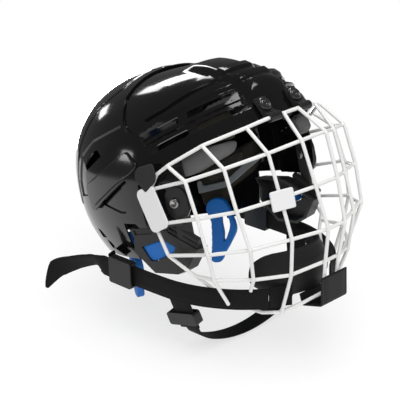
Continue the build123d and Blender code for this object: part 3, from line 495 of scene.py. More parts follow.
def cut_along(mesh: bmesh.types.BMesh, outline: Sequence[Pair], shifts: Sequence[float],
              reach: float = 4.0) -> None:
    """Cuts the faces of a mesh along the edges of an outline in the side view.

    Args:
        mesh: the mesh, in millimetres.
        outline: corners of the outline.
        shifts: distances inward of the cuts.
        reach: how far past an edge the cut goes.
    """
    sign = 1 if turning(outline) > 0 else -1
    one, two = SIDE_VIEW
    for (ay, az), (by, bz) in edges_of(outline):
        span = math.hypot(by - ay, bz - az)
        if span < 0.01:
            continue
        inward = (-(bz - az) / span * sign, (by - ay) / span * sign)
        low_y, high_y = sorted((ay, by))
        low_z, high_z = sorted((az, bz))
        for shift in shifts:
            co, no = Vector((0, 0, 0)), Vector((0, 0, 0))
            co[one], co[two] = ay + inward[0] * shift, az + inward[1] * shift
            no[one], no[two] = inward
            pad = reach + abs(shift)
            faces = [f for f in mesh.faces if any(
                low_y - pad < v.co[one] < high_y + pad and low_z - pad < v.co[two] < high_z + pad
                for v in f.verts)]
            verts = list({v for f in faces for v in f.verts})
            edges = list({e for f in faces for e in f.edges})
            bmesh.ops.bisect_plane(mesh, geom=verts + edges + faces, dist=1e-4, plane_co=co, plane_no=no)


def dress(piece: bpy.types.Object, finish: Finish, body: str, *nodes: str, slot: str | None = None,
          fill: float | None = None) -> bpy.types.Object:
    """Gives a piece its finish and body, and hides the nodes that it stands for.

    Args:
        piece: the object.
        finish: its surface finish.
        body: CAD body that it moves with.
        nodes: CAD nodes that it replaces.
        slot: material slot, where it isn't that of the first node; not used.
        fill: for soft pieces, how tight the pad is; not used.

    Returns:
        The piece.
    """
    piece.data.materials.clear()
    piece.data.materials.append(finish.material())
    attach(piece, body)
    if nodes:
        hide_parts(*nodes)
    LOG.info("%s rides on %s", piece.name, body)
    return piece


def dress_node(name: str, finish: Finish) -> None:
    """Gives a CAD node that stays in view its finish.

    Args:
        name: name of the node.
        finish: its surface finish.
    """
    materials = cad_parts[name].data.materials
    materials.clear()
    materials.append(finish.material())


def add_object(name: str, data: bpy.types.ID) -> bpy.types.Object:
    """Adds an object to the scene.

    Args:
        name: its name.
        data: its mesh, light or camera.

    Returns:
        The object.
    """
    made = bpy.data.objects.new(name, data)
    bpy.context.scene.collection.objects.link(made)
    return made


def to_object(name: str, mesh: bmesh.types.BMesh, scale: float = MM) -> bpy.types.Object:
    """Smooth-shaded object from a mesh, which is used up.

    Args:
        name: name of the object.
        mesh: the mesh.
        scale: size of its unit in metres.

    Returns:
        The object.
    """
    data = bpy.data.meshes.new(name)
    mesh.to_mesh(data)
    mesh.free()
    data.transform(Matrix.Scale(scale, 4))
    data.shade_smooth()
    return add_object(name, data)


def settle(piece: bpy.types.Object) -> bpy.types.Object:
    """Applies every modifier of a piece.

    Args:
        piece: the piece.

    Returns:
        The same piece.
    """
    shape = bpy.data.meshes.new_from_object(piece.evaluated_get(bpy.context.evaluated_depsgraph_get()))
    piece.modifiers.clear()
    piece.data = shape
    return piece


def soften_edges(piece: bpy.types.Object, width: float, segments: int = 2,
                 angle: float = 32.0) -> bpy.types.Object:
    """Rounds the crisp edges of a piece and evens its shading.

    Args:
        piece: the piece.
        width: width of the rounding.
        segments: faces across the rounding.
        angle: least angle of an edge that is rounded, in degrees.

    Returns:
        The same piece.
    """
    bevel = piece.modifiers.new("edges", "BEVEL")
    bevel.width, bevel.segments, bevel.limit_method = width * MM, segments, "ANGLE"
    bevel.angle_limit, bevel.use_clamp_overlap = math.radians(angle), True
    even = piece.modifiers.new("shading", "WEIGHTED_NORMAL")
    even.keep_sharp = True
    return settle(piece)


def crisp_copy(name: str, node: str, width: float, segments: int = 3) -> bpy.types.Object:
    """Copy of a rigid CAD node with its flat faces cleaned and its edges rounded.

    Args:
        name: name of the new piece.
        node: the CAD node.
        width: width of the rounding in millimetres.
        segments: faces across the rounding.

    Returns:
        The new piece.
    """
    mesh = bmesh.new()
    mesh.from_mesh(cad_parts[node].data)
    bmesh.ops.remove_doubles(mesh, verts=mesh.verts[:], dist=2e-6)
    bmesh.ops.dissolve_limit(mesh, angle_limit=math.radians(2), verts=mesh.verts[:], edges=mesh.edges[:])
    return soften_edges(to_object(name, mesh, 1.0), width, segments)


def joined(name: str, pieces: Sequence[bpy.types.Object]) -> bpy.types.Object:
    """One object from several meshes at rest.

    Args:
        name: name of the new object.
        pieces: objects that it takes up.

    Returns:
        The new object.
    """
    mesh = bmesh.new()
    for piece in pieces:
        mesh.from_mesh(piece.data)
        bpy.data.objects.remove(piece)
    return to_object(name, mesh, 1.0)


def mirrored(piece: bpy.types.Object, name: str) -> bpy.types.Object:
    """Mirror image of a piece across the helmet.

    Args:
        piece: the left-hand piece, which stays.
        name: name of the new piece.

    Returns:
        The right-hand piece.
    """
    mesh = bmesh.new()
    mesh.from_mesh(piece.data)
    bmesh.ops.scale(mesh, vec=(-1, 1, 1), verts=mesh.verts[:])
    bmesh.ops.reverse_faces(mesh, faces=mesh.faces[:])
    return to_object(name, mesh, 1.0)


def on_side(side: Side, piece: bpy.types.Object) -> bpy.types.Object:
    """Puts a left-hand piece on one side of the helmet.

    Args:
        side: the side.
        piece: the left-hand piece, which is used up on the right.

    Returns:
        The piece or its mirror image, under the same name.
    """
    if side is Side.LEFT:
        return piece
    name = piece.name
    piece.name = name + "_pattern"
    turned = mirrored(piece, name)
    bpy.data.objects.remove(piece)
    return turned


@dataclass(frozen=True)
class SidePatch:
    """Curved slab on the helmet's side, given by its outline in the side view.

    shown and hidden are the insets of its two faces from the dome, and edge is the radius of its rounded rim.
    """

    outline: Sequence[Pair]
    shown: float
    hidden: float
    edge: float = 1.0
    spacing: float = 2.0

    def grid(self) -> bmesh.types.BMesh:
        """Flat grid in the side view, trimmed to the outline.

        Returns:
            The mesh.
        """
        mesh = bmesh.new()
        low = [min(p[axis] for p in self.outline) - 1 for axis in (0, 1)]
        high = [max(p[axis] for p in self.outline) + 1 for axis in (0, 1)]
        count = [int((high[axis] - low[axis]) / self.spacing) + 1 for axis in (0, 1)]
        rows = [[mesh.verts.new((0, low[0] + i * self.spacing, low[1] + j * self.spacing))
                 for j in range(count[1] + 1)] for i in range(count[0] + 1)]
        for i in range(count[0]):
            for j in range(count[1]):
                mesh.faces.new((rows[i][j], rows[i + 1][j], rows[i + 1][j + 1], rows[i][j + 1]))
        cut_along(mesh, self.outline, (0.0, self.edge * 0.3, self.edge), self.spacing * 1.5)
        gone = [f for f in mesh.faces if not inside(f.calc_center_median()[1:], self.outline)]
        bmesh.ops.delete(mesh, geom=gone, context="FACES")
        return mesh

    def build(self, name: str) -> bpy.types.Object:
        """Makes the left-hand slab.

        Args:
            name: name of the piece.

        Returns:
            The piece.
        """
        mesh = self.grid()
        lift = 1 if self.hidden > self.shown else -1
        back = {}
        for vert in mesh.verts[:]:
            y, z = vert.co.y, vert.co.z
            t = min(edge_distance((y, z), self.outline) / self.edge, 1.0)
            fall = self.edge * (1 - math.sqrt(max(1 - (1 - t) ** 2, 0.0)))
            vert.co.x = DOME.side(y, z, self.shown + lift * fall)
            back[vert] = mesh.verts.new((DOME.side(y, z, self.hidden), y, z))
        faces, rims = mesh.faces[:], [e for e in mesh.edges if len(e.link_faces) == 1]
        for face in faces:
            mesh.faces.new([back[v] for v in reversed(face.verts)])
        for rim in rims:
            a, b = rim.verts
            mesh.faces.new((a, b, back[b], back[a]))
        bmesh.ops.recalc_face_normals(mesh, faces=mesh.faces[:])
        return to_object(name, mesh)


@dataclass(frozen=True)
class SoftSlab:
    """Crowned foam pad or soft tab, from its outline in a plane.

    voxel is the cell of the remesh, rounds its smoothing steps, grooves are moulded channels as lines in the
    plane, and wave is the height of the uneven surface.
    """

    outline: Sequence[Pair]
    thickness: float
    place: Matrix
    hole: Sequence[Pair] = ()
    voxel: float = 1.3
    rounds: int = 5
    grooves: Sequence[tuple[Pair, Pair]] = ()
    wave: float = 0.35
    groove_half: float = 2.2
    groove_depth: float = 1.7

    def block(self, name: str) -> bpy.types.Object:
        """Plain slab with its opening.

        Args:
            name: name of the piece.

        Returns:
            The piece, in its own plane.
        """
        mesh = bmesh.new()
        edges = []
        for ring in filter(None, (list(self.outline), list(self.hole))):
            verts = [mesh.verts.new((x, y, 0)) for x, y in ring]
            edges += [mesh.edges.new((a, b)) for a, b in zip(verts, [*verts[1:], verts[0]])]
        bmesh.ops.triangle_fill(mesh, use_beauty=True, edges=edges)
        raised = bmesh.ops.extrude_face_region(mesh, geom=mesh.faces[:])["geom"]
        raised = [v for v in raised if isinstance(v, bmesh.types.BMVert)]
        bmesh.ops.translate(mesh, vec=(0, 0, self.thickness), verts=raised)
        bmesh.ops.recalc_face_normals(mesh, faces=mesh.faces[:])
        return to_object(name, mesh)

    def build(self, name: str) -> bpy.types.Object:
        """Makes the slab.

        Args:
            name: name of the piece.

        Returns:
            The piece, in place.
        """
        slab = self.block(name)
        remesh = slab.modifiers.new("cells", "REMESH")
        remesh.mode, remesh.voxel_size = "VOXEL", self.voxel * MM
        smooth = slab.modifiers.new("crown", "SMOOTH")
        smooth.factor, smooth.iterations = 0.5, self.rounds
        settle(slab)
        for vert, normal in zip(slab.data.vertices, [v.normal.copy() for v in slab.data.vertices]):
            p = vert.co / MM
            shift = self.wave * noise.noise(Vector((p.x, p.y, p.z)) * 0.09)
            for line in self.grooves:
                near = min(edge_distance((p.x, p.y), line) / self.groove_half, 1.0)
                shift -= self.groove_depth * (1 - near) ** 2 if abs(normal.z) > 0.3 else 0.0
            vert.co += normal * shift * MM
        scaled = self.place.copy()
        scaled.translation = self.place.translation * MM
        slab.data.transform(scaled)
        slab.data.shade_smooth()
        return slab


def smooth_route(points: Sequence[Vector], step: float = 2.0) -> list[Vector]:
    """Smooth line through the middles of a route's runs.

    Args:
        points: the route.
        step: distance between the new points.

    Returns:
        Points of the line.
    """
    if len(points) == 2:
        count = max(int((points[1] - points[0]).length / step), 2)
        return [points[0].lerp(points[1], i / count) for i in range(count + 1)]
    made = []
    for index in range(1, len(points) - 1):
        start = points[0] if index == 1 else (points[index - 1] + points[index]) / 2
        stop = points[-1] if index == len(points) - 2 else (points[index] + points[index + 1]) / 2
        count = max(int(((points[index] - start).length + (stop - points[index]).length) / step), 3)
        for i in range(0 if index == 1 else 1, count + 1):
            t = i / count
            made.append(start * (1 - t) ** 2 + points[index] * 2 * t * (1 - t) + stop * t ** 2)
    return made


# Half of the webbing's section as shares of its width and thickness: selvedge, stitch groove and flat face
WEBBING_HALF = ((-0.5, 0.0), (-0.495, 0.34), (-0.475, 0.5), (-0.44, 0.5), (-0.425, 0.40), (-0.41, 0.5),
                (-0.2, 0.5), (0.0, 0.5), (0.2, 0.5), (0.41, 0.5), (0.425, 0.40), (0.44, 0.5), (0.475, 0.5),
                (0.495, 0.34))


@dataclass
class Ribbon:
    """Flat webbing along a line.

    edge is the direction of its width, rolls turn it about the line in degrees, shares narrow it, and turn
    places the whole.
    """

    centres: list[Vector]
    width: float
    thickness: float = 1.8
    edge: Vector = field(default_factory=lambda: Vector((0, 0, 1)))
    rolls: Sequence[float] = ()
    shares: Sequence[float] = ()
    turn: Matrix = field(default_factory=Matrix)

    def section(self, index: int, profile: Sequence[Pair]) -> list[Vector]:
        """Section of the webbing at one point of its line.

        Args:
            index: number of the point.
            profile: the section as shares of the width and thickness.

        Returns:
            Points round the section.
        """
        last = len(self.centres) - 1
        along = (self.centres[min(index + 1, last)] - self.centres[max(index - 1, 0)]).normalized()
        side = along.cross(self.edge).normalized()
        lean = math.radians(self.rolls[index]) if self.rolls else 0.0
        across = side.cross(along) * math.cos(lean) + side * math.sin(lean)
        up = along.cross(across)
        width = self.width * (self.shares[index] if self.shares else 1.0)
        return [self.turn @ (self.centres[index] + across * a * width + up * t * self.thickness)
                for a, t in profile]

    def build(self, name: str) -> bpy.types.Object:
        """Makes the webbing, with its run map in metres.

        Args:
            name: name of the piece.

        Returns:
            The piece.
        """
        profile = [*WEBBING_HALF, *((-a, -t) for a, t in WEBBING_HALF)]
        mesh = bmesh.new()
        layer = mesh.loops.layers.uv.new("run")
        rings, runs, run = [], [], 0.0
        for index, centre in enumerate(self.centres):
            rings.append([mesh.verts.new(point) for point in self.section(index, profile)])
            run += (centre - self.centres[max(index - 1, 0)]).length
            runs.append(run)
        count = len(profile)
        for index in range(len(rings) - 1):
            for k in range(count):
                spots = ((index, k), (index, (k + 1) % count), (index + 1, (k + 1) % count), (index + 1, k))
                face = mesh.faces.new([rings[i][j] for i, j in spots])
                for loop, (i, j) in zip(face.loops, spots):
                    loop[layer].uv = (runs[i] * MM, profile[j][0] * self.width * MM)
        mesh.faces.new(list(reversed(rings[0])))
        mesh.faces.new(rings[-1])
        bmesh.ops.recalc_face_normals(mesh, faces=mesh.faces[:])
        return to_object(name, mesh)


def lathe(name: str, profile: Sequence[Pair], place: Matrix, steps: int = 40) -> bpy.types.Object:
    """Turned piece.

    Args:
        name: name of the piece.
        profile: radius and height from the axis below to the axis above, in millimetres.
        place: matrix whose z is the axis, in millimetres.
        steps: faces around.

    Returns:
        The piece, in place.
    """
    mesh = bmesh.new()
    rings = []
    for radius, height in profile:
        turns = [2 * math.pi * k / steps for k in range(steps)] if radius > 0 else [0.0]
        rings.append([mesh.verts.new(place @ Vector((radius * math.cos(t), radius * math.sin(t), height)))
                      for t in turns])
    for low, high in zip(rings, rings[1:]):
        for k in range(steps):
            ring = [low[k % len(low)], low[(k + 1) % steps % len(low)], high[(k + 1) % steps % len(high)],
                    high[k % len(high)]]
            ring = [v for i, v in enumerate(ring) if v not in ring[:i]]
            if len(ring) > 2:
                mesh.faces.new(ring)
    bmesh.ops.recalc_face_normals(mesh, faces=mesh.faces[:])
    return to_object(name, mesh)


def plane_matrix(origin: Vector, x_axis: Vector, z_axis: Vector) -> Matrix:
    """Matrix of a plane.

    Args:
        origin: its origin.
        x_axis: its x direction.
        z_axis: its normal.

    Returns:
        The matrix.
    """
    z = z_axis.normalized()
    x = (x_axis - z * x_axis.dot(z)).normalized()
    made = Matrix((x, z.cross(x), z)).transposed().to_4x4()
    made.translation = origin
    return made


@dataclass(frozen=True)
class Relief:
    """Raised or sunk field of a shell: outline in the side view, depth inward and width of its wall."""

    outline: Sequence[Pair]
    depth: float
    wall: float

    def at(self, y: float, z: float) -> float:
        """Inset that the field adds at one place of the side view."""
        near = edge_distance((y, z), self.outline) if inside((y, z), self.outline) else 0.0
        return self.depth * min(near / self.wall, 1.0)


def clamp(value: float) -> float:
    """Value held between 0 and 1."""
    return max(0.0, min(1.0, value))


@dataclass
class ShellHalf:
    """Half of the hard shell, cut from a fine grid on the dome along its real edges and folds.

    base is its inset from the dome, azimuths and foot bound its grid, and crest is the height of the ridge,
    whose pairs give where each slope ends and how long it is.
    """

    outline: Sequence[Pair]
    base: float
    wall: float
    azimuths: Pair
    foot: float
    holes: Sequence[Sequence[Pair]] = ()
    reliefs: Sequence[Relief] = ()
    crest: float = 0.0
    crest_side: Pair = (27.0, 11.0)
    crest_front: Pair = (-103.0, 18.0)
    crest_back: Pair = (-4.0, 22.0)
    columns: int = 130
    rows: int = 78
    skirt_rows: int = 26
    row_power: float = 0.92
    edge: float = 0.45
    edge_angle: float = 34.0

    def crest_rise(self, p: Vector) -> float:
        """Extra height of the soft ridge on the crown.

        Args:
            p: point of the dome.

        Returns:
            The height.
        """
        across = clamp((self.crest_side[0] - abs(p.x)) / self.crest_side[1])
        along = (clamp((p.y - self.crest_front[0]) / self.crest_front[1])
                 * clamp((self.crest_back[0] - p.y) / self.crest_back[1]))
        ease = [t * t * (3 - 2 * t) for t in (across, along)]
        return self.crest * ease[0] * ease[1]

    def grid(self) -> bmesh.types.BMesh:
        """Left half of the dome as fine faces.

        Returns:
            The mesh.
        """
        mesh = bmesh.new()
        low = -(1 - self.foot / DOME.level)
        rises = [low * (1 - k / self.skirt_rows) for k in range(self.skirt_rows)]
        rises += [(k / self.rows) ** self.row_power for k in range(self.rows + 1)]
        start, stop = (math.radians(a) for a in self.azimuths)
        turns = [start + (stop - start) * c / self.columns for c in range(self.columns + 1)]
        grid = [[mesh.verts.new(DOME.point(turn, rise)) for rise in rises] for turn in turns]
        for c in range(self.columns):
            for r in range(len(rises) - 1):
                mesh.faces.new((grid[c][r], grid[c + 1][r], grid[c + 1][r + 1], grid[c][r + 1]))
        bmesh.ops.remove_doubles(mesh, verts=mesh.verts[:], dist=0.01)
        return mesh

    def trim(self, mesh: bmesh.types.BMesh) -> None:
        """Cuts the faces along every outline and takes away those outside or in a hole.

        Args:
            mesh: the grid.
        """
        cut_along(mesh, self.outline, (0.0,))
        for relief in self.reliefs:
            cut_along(mesh, relief.outline, (0.0, relief.wall))
        for hole in self.holes:
            cut_along(mesh, hole, (0.0,))
        gone = []
        for face in mesh.faces:
            spot = tuple(face.calc_center_median()[1:])
            if not inside(spot, self.outline) or any(inside(spot, hole) for hole in self.holes):
                gone.append(face)
        bmesh.ops.delete(mesh, geom=gone, context="FACES")

    def press(self, mesh: bmesh.types.BMesh) -> None:
        """Moves the faces in from the dome by their insets.

        Args:
            mesh: the trimmed grid.
        """
        moves = []
        for vert in mesh.verts:
            p = vert.co.copy()
            inset = self.base + sum(relief.at(p.y, p.z) for relief in self.reliefs) - self.crest_rise(p)
            normal = DOME.normal(p)
            if abs(p.x) < 1e-3:
                normal.x = 0.0
            moves.append(p - normal * inset)
        for vert, place in zip(mesh.verts, moves):
            vert.co = place

    def build(self, name: str) -> bpy.types.Object:
        """Makes the shell, both sides, with its wall thickness and rounded edges.

        Args:
            name: name of the piece.

        Returns:
            The piece.
        """
        mesh = self.grid()
        self.trim(mesh)
        self.press(mesh)
        other = bmesh.ops.duplicate(mesh, geom=mesh.verts[:] + mesh.edges[:] + mesh.faces[:])["geom"]
        bmesh.ops.scale(mesh, vec=(-1, 1, 1), verts=[v for v in other if isinstance(v, bmesh.types.BMVert)])
        bmesh.ops.remove_doubles(mesh, verts=mesh.verts[:], dist=0.02)
        bmesh.ops.recalc_face_normals(mesh, faces=mesh.faces[:])
        top = max(mesh.faces, key=lambda f: f.calc_center_median().z)
        if top.normal.z < 0:
            bmesh.ops.reverse_faces(mesh, faces=mesh.faces[:])
        shell = to_object(name, mesh)
        solid = shell.modifiers.new("wall", "SOLIDIFY")
        solid.thickness, solid.offset = self.wall * MM, -1.0
        settle(shell)
        return soften_edges(shell, self.edge, 2, self.edge_angle)


def slot_hole(start: Pair, stop: Pair, half: float) -> list[Pair]:
    """Outline of a long rounded opening.

    Args:
        start: one end of its middle line.
        stop: the other end.
        half: half its width.

    Returns:
        The outline.
    """
    a, b = Vector(start), Vector(stop)
    along = (b - a).normalized()
    side = Vector((-along.y, along.x)) * half
    return round_off([tuple(a - side), tuple(b - side), tuple(b + side), tuple(a + side)], half * 0.8, 3)


@dataclass
class Shells:
    """The two glossy shells, their side panels and the size screws, with outlines in the side view.

    Each rear opening has its corners, their rounding and the steps of a bend.
    """

    front_outline: Sequence[Pair] = (
        (-175, 156.7), (-53, 106.7), (-58, 75.5), (-55.5, 62), (-50, 53), (-43.4, 48), (2, 48), (6, 52),
        (6, 90), (9, 93), (70, 62), (76, 62), (83, 92), (81, 96), (33, 118), (6, 134), (18, 142), (29.7, 162),
        (30, 240), (-175, 240))
    side_band: Relief = Relief((
        (-260, 230), (-100, 172), (-76, 164.8), (-66.9, 161.2), (-50.2, 156), (-29.9, 144.7), (-4, 132.6),
        (6, 135), (14, 140), (60, 122), (140, 100), (140, 20), (-260, 20)), -6.4, 1.5)
    strip: Relief = Relief((
        (-88, 178), (-66, 170.5), (-45, 158.3), (-31.9, 150.5), (-11.9, 142.1), (-7.6, 146.4), (-23.8, 156.2),
        (-36.6, 165.9), (-60, 175.5), (-88, 182)), -2.6, 1.4)
    vent_field: Relief = Relief((
        (-95, 137.5), (-74, 129.5), (-48, 121.0), (-25.5, 112.5), (-8.5, 129.5), (-30, 139.8), (-51, 148.8),
        (-66, 155), (-81, 160)), 2.0, 3.2)
    vent_rib: Relief = Relief((
        (-88, 145.2), (-59.4, 135.0), (-19.3, 121.0), (-17.5, 124.0), (-59.4, 138.2), (-86, 148.4)),
        -2.0, 1.0)
    brow_step: Relief = Relief(((-53, 106.0), (-8, 88), (-8, 40), (-70, 40), (-70, 106)), 2.6, 1.5)
    forehead_panel: Relief = Relief((
        (-130, 190), (-80.7, 157.4), (-89.1, 147), (-96, 139.5), (-140, 152)), -0.7, 1.6)
    vents: Sequence[tuple[Pair, Pair]] = (
        ((-14.5, 127.2), (-48.5, 139.9)), ((-54.5, 142.0), (-79.5, 150.6)),
        ((-31.5, 118.3), (-59.5, 128.4)), ((-65.0, 130.4), (-90.5, 139.8)))
    vent_half: float = 2.9
    front_inset: float = 2.9
    front_wall: float = 2.2
    front_span: Pair = (0, 118)
    front_foot: float = 44.0
    crest: float = 4.1
    rear_outline: Sequence[Pair] = (
        (7.5, 133.5), (18, 142), (29.7, 162), (30, 240), (225, 240), (225, 12), (30, 12), (30, 50), (2, 50),
        (2, 128))
    rear_field: Relief = Relief((
        (43.5, 174.3), (45.4, 169.1), (54.2, 163.4), (65.6, 156.5), (75.4, 150.6), (84, 141), (104, 116),
        (116, 84), (118, 60), (230, 60), (230, 250), (36, 250)), -0.9, 2.0)
    rear_hollow: Relief = Relief((
        (21, 141), (39.6, 135.7), (69.6, 127.3), (98, 112), (112, 84), (112, 70), (84, 74), (30, 60),
        (21, 60)), 1.3, 1.6)
    rear_openings: Sequence[tuple[Sequence[Pair], float, int]] = (
        (((46, 107), (61, 119), (70, 117), (92, 103), (86, 96), (62, 101)), 2.5, 3),
        (((76, 31), (84, 38), (92, 40), (88, 30)), 1.5, 2),
        (((66, 20), (72, 27), (80, 29), (76, 19)), 1.5, 2))
    rear_inset: float = 0.9
    rear_wall: float = 1.5
    rear_span: Pair = (62, 180)
    rear_foot: float = 12.0
    panel_outline: Sequence[Pair] = (
        (3, 119.5), (-12, 106.0), (-1, 98.5), (20, 90.5), (42, 79.5), (70, 66.0), (76, 68), (79, 84),
        (76, 87), (40, 102.5))
    panel_shown: float = -5.3
    panel_hidden: float = -3.55

    def front(self) -> bpy.types.Object:
        """Makes the front shell with its bands, vents and crest.

        Returns:
            The piece.
        """
        reliefs = [self.side_band, self.strip, self.vent_field, self.vent_rib, self.brow_step,
                   self.forehead_panel]
        holes = [slot_hole(a, b, self.vent_half) for a, b in self.vents]
        half = ShellHalf(self.front_outline, self.front_inset, self.front_wall, self.front_span,
                         self.front_foot, holes, reliefs, self.crest)
        return half.build("front_shell_skin")

    def rear(self) -> bpy.types.Object:
        """Makes the rear shell with its openings.

        Returns:
            The piece.
        """
        holes = [round_off(*row) for row in self.rear_openings]
        half = ShellHalf(self.rear_outline, self.rear_inset, self.rear_wall, self.rear_span, self.rear_foot,
                         holes, [self.rear_field, self.rear_hollow])
        return half.build("rear_shell_skin")

    def build(self) -> None:
        """Makes and dresses the shells, panels and screws."""
        dress(self.front(), SHELL, "shell", "front_shell")
        dress(self.rear(), SHELL, "rear", "rear_shell")
        panel = SidePatch(round_off(self.panel_outline, 4.0, 4), self.panel_shown, self.panel_hidden)
        for side in Side:
            piece = on_side(side, panel.build(side.node("side_panel_skin")))
            dress(piece, PANEL, "shell", side.node("side_panel"))
        dress(crisp_copy("size_screws", "adjust_screws", 0.3, 2), SCREW, "rear", "adjust_screws")


@dataclass
class Liner:
    """Foam pads, net patches and bands inside the shells.

    A pad's row is its azimuth and elevation in degrees and its width and height as shares of the unit. The
    other shares are corners in the side view, the nape pads' in their own plane.
    """

    unit: float = 60.0
    thickness: float = 13.0
    corner: float = 7.0
    clearance: float = 0.3
    brow: Sequence[tuple[float, ...]] = ((0, 41, 0.80, 0.42), (36, 37, 0.62, 0.42), (-36, 37, 0.62, 0.42))
    crown: Sequence[tuple[float, ...]] = ((0, 66, 0.75, 0.55), (58, 58, 0.60, 0.55), (-58, 58, 0.60, 0.55))
    rear: Sequence[tuple[float, ...]] = (
        (180, 4, 0.80, 0.70), (180, 50, 0.60, 0.60), (146, 44, 0.55, 0.60), (-146, 44, 0.55, 0.60))
    side_shares: Sequence[Pair] = (
        (0.35, 1.43), (0.62, 1.33), (1.15, 1.20), (1.50, 1.02), (1.55, 0.66), (1.42, 0.34), (1.07, 0.34),
        (1.05, 0.58), (0.55, 0.85), (0.35, 1.05))
    net_shares: Sequence[Pair] = (
        (0.58, 1.25), (0.95, 1.14), (1.22, 0.99), (1.33, 0.85), (1.28, 0.77), (1.04, 0.82), (0.78, 1.01),
        (0.60, 1.09))
    band_shares: Sequence[Pair] = (
        (1.53, 0.80), (1.46, 0.81), (1.43, 0.71), (1.00, 0.76), (0.54, 1.06), (0.18, 1.21), (0.18, 1.12),
        (0.52, 0.93), (0.95, 0.67), (1.02, 0.65), (1.50, 0.59))
    temple_shares: Sequence[Pair] = (
        (-0.67, 1.66), (-0.78, 1.52), (-0.97, 1.51), (-1.40, 1.72), (-1.40, 1.90), (-1.00, 1.86),
        (-0.72, 1.76))
    nape_shares: Sequence[Pair] = (
        (0.19, 0.86), (0.11, 0.97), (0.03, 1.00), (-0.10, 0.98), (-0.17, 0.89), (-0.21, 0.72), (-0.24, 0.53),
        (-0.21, 0.42), (-0.12, 0.30), (0.01, 0.15), (0.10, 0.00), (0.27, 0.02), (0.18, 0.36), (0.13, 0.66))
    slot_shares: Sequence[Pair] = (
        (-0.05, 0.75), (-0.14, 0.72), (-0.15, 0.55), (-0.07, 0.40), (0.02, 0.27), (-0.03, 0.46),
        (-0.03, 0.62))
    nape_unit: float = 69.0
    nape_turn: float = 63.3
    nape_foot: tuple[float, float, float] = (61, 66, -37.4)
    nape_wall: float = 7.0

    def scaled(self, shares: Sequence[Pair], radius: float) -> list[Pair]:
        """Rounded outline in millimetres from shares of the pad unit."""
        return round_off([(y * self.unit, z * self.unit) for y, z in shares], radius)

    def reach(self, plane: Matrix, half: Pair, inset: float) -> float:
        """Distance along a plane's normal at which a pad's corners meet the shell.

        Args:
            plane: the pad's plane at the middle of the head.
            half: half the pad's width and height.
            inset: inset of the surface that it lies on.

        Returns:
            The distance.
        """
        near, far = 0.0, DOME.back
        while far - near > 0.1:
            middle = (near + far) / 2
            corners = [plane @ Vector((x * half[0], y * half[1], middle)) for x in (-1, 1) for y in (-1, 1)]
            if max(DOME.share(c, inset + self.clearance) for c in corners) > 1:
                far = middle
            else:
                near = middle
        return near

    def pad(self, name: str, row: Sequence[float], inset: float) -> bpy.types.Object:
        """Pad that lies against the inside of the shell.

        Args:
            name: name of the piece.
            row: the pad's row.
            inset: inset of the surface that it lies on.

        Returns:
            The pad.
        """
        turn, tilt = math.radians(row[0]), math.radians(row[1])
        w, h = row[2] * self.unit / 2, row[3] * self.unit / 2
        out = Vector((math.sin(turn) * math.cos(tilt), -math.cos(turn) * math.cos(tilt), math.sin(tilt)))
        plane = plane_matrix(Vector((0, 0, DOME.level)), Vector((math.cos(turn), math.sin(turn), 0)), out)
        outline = round_off([(-w, -h), (w, -h), (w, h), (-w, h)], self.corner)
        grooves = [((x, -h), (x, h)) for x in (-w / 3, w / 3)]
        low = self.reach(plane, (w, h), inset) - self.thickness
        place = plane @ Matrix.Translation((0, 0, low))
        return SoftSlab(outline, self.thickness, place, grooves=grooves, voxel=1.6).build(name)

    def nape(self, name: str) -> bpy.types.Object:
        """Looped pad behind the left ear.

        Args:
            name: name of the piece.

        Returns:
            The pad.
        """
        turn = math.radians(self.nape_turn)
        place = plane_matrix(Vector(self.nape_foot), Vector((-math.cos(turn), math.sin(turn), 0)),
                             Vector((math.sin(turn), math.cos(turn), 0)))
        outline, hole = (round_off([(x * self.nape_unit, z * self.nape_unit) for x, z in shares], radius)
                         for shares, radius in ((self.nape_shares, 5.0), (self.slot_shares, 2.5)))
        place = place @ Matrix.Translation((0, 0, -self.nape_wall / 2))
        return SoftSlab(outline, self.nape_wall, place, hole, 1.1, 3).build(name)

    def build(self) -> None:
        """Makes and dresses the liner."""
        for stem, rows, inset, body, finish in (
                ("brow", self.brow, 3.7, "shell", FOAM), ("crown", self.crown, 5.3, "shell", FOAM_DARK),
                ("rear", self.rear, 2.6, "rear", FOAM_DARK)):
            pads = [self.pad(f"{stem}_pad_{k}", row, inset) for k, row in enumerate(rows)]
            dress(joined(stem + "_liner_pads", pads), finish, body, stem + "_liner", fill=PAD_FILL)
        for stem, outline, shown, hidden, edge, body, finish, soft in (
                ("side_liner", self.scaled(self.side_shares, 5), 14.5, 2.6, 4.0, "rear", FOAM, PAD_FILL),
                ("mesh_patch", self.scaled(self.net_shares, 3), 15.6, 14.6, 0.5, "rear", NET, None),
                ("liner_band", self.scaled(self.band_shares, 2), 16.0, 14.6, 0.6, "rear", BAND, None),
                ("temple_pad", self.scaled(self.temple_shares, 5), 15.3, 3.4, 4.5, "shell", FOAM_GREY,
                 PAD_FILL)):
            patch = SidePatch(outline, shown, hidden, edge)
            for side in Side:
                piece = on_side(side, patch.build(side.node(stem + "_piece")))
                dress(piece, finish, body, side.node(stem), fill=soft)
        for side in Side:
            piece = on_side(side, self.nape(side.node("nape_loop")))
            dress(piece, BLUE, "rear", side.node("nape_pad"), fill=PAD_FILL)


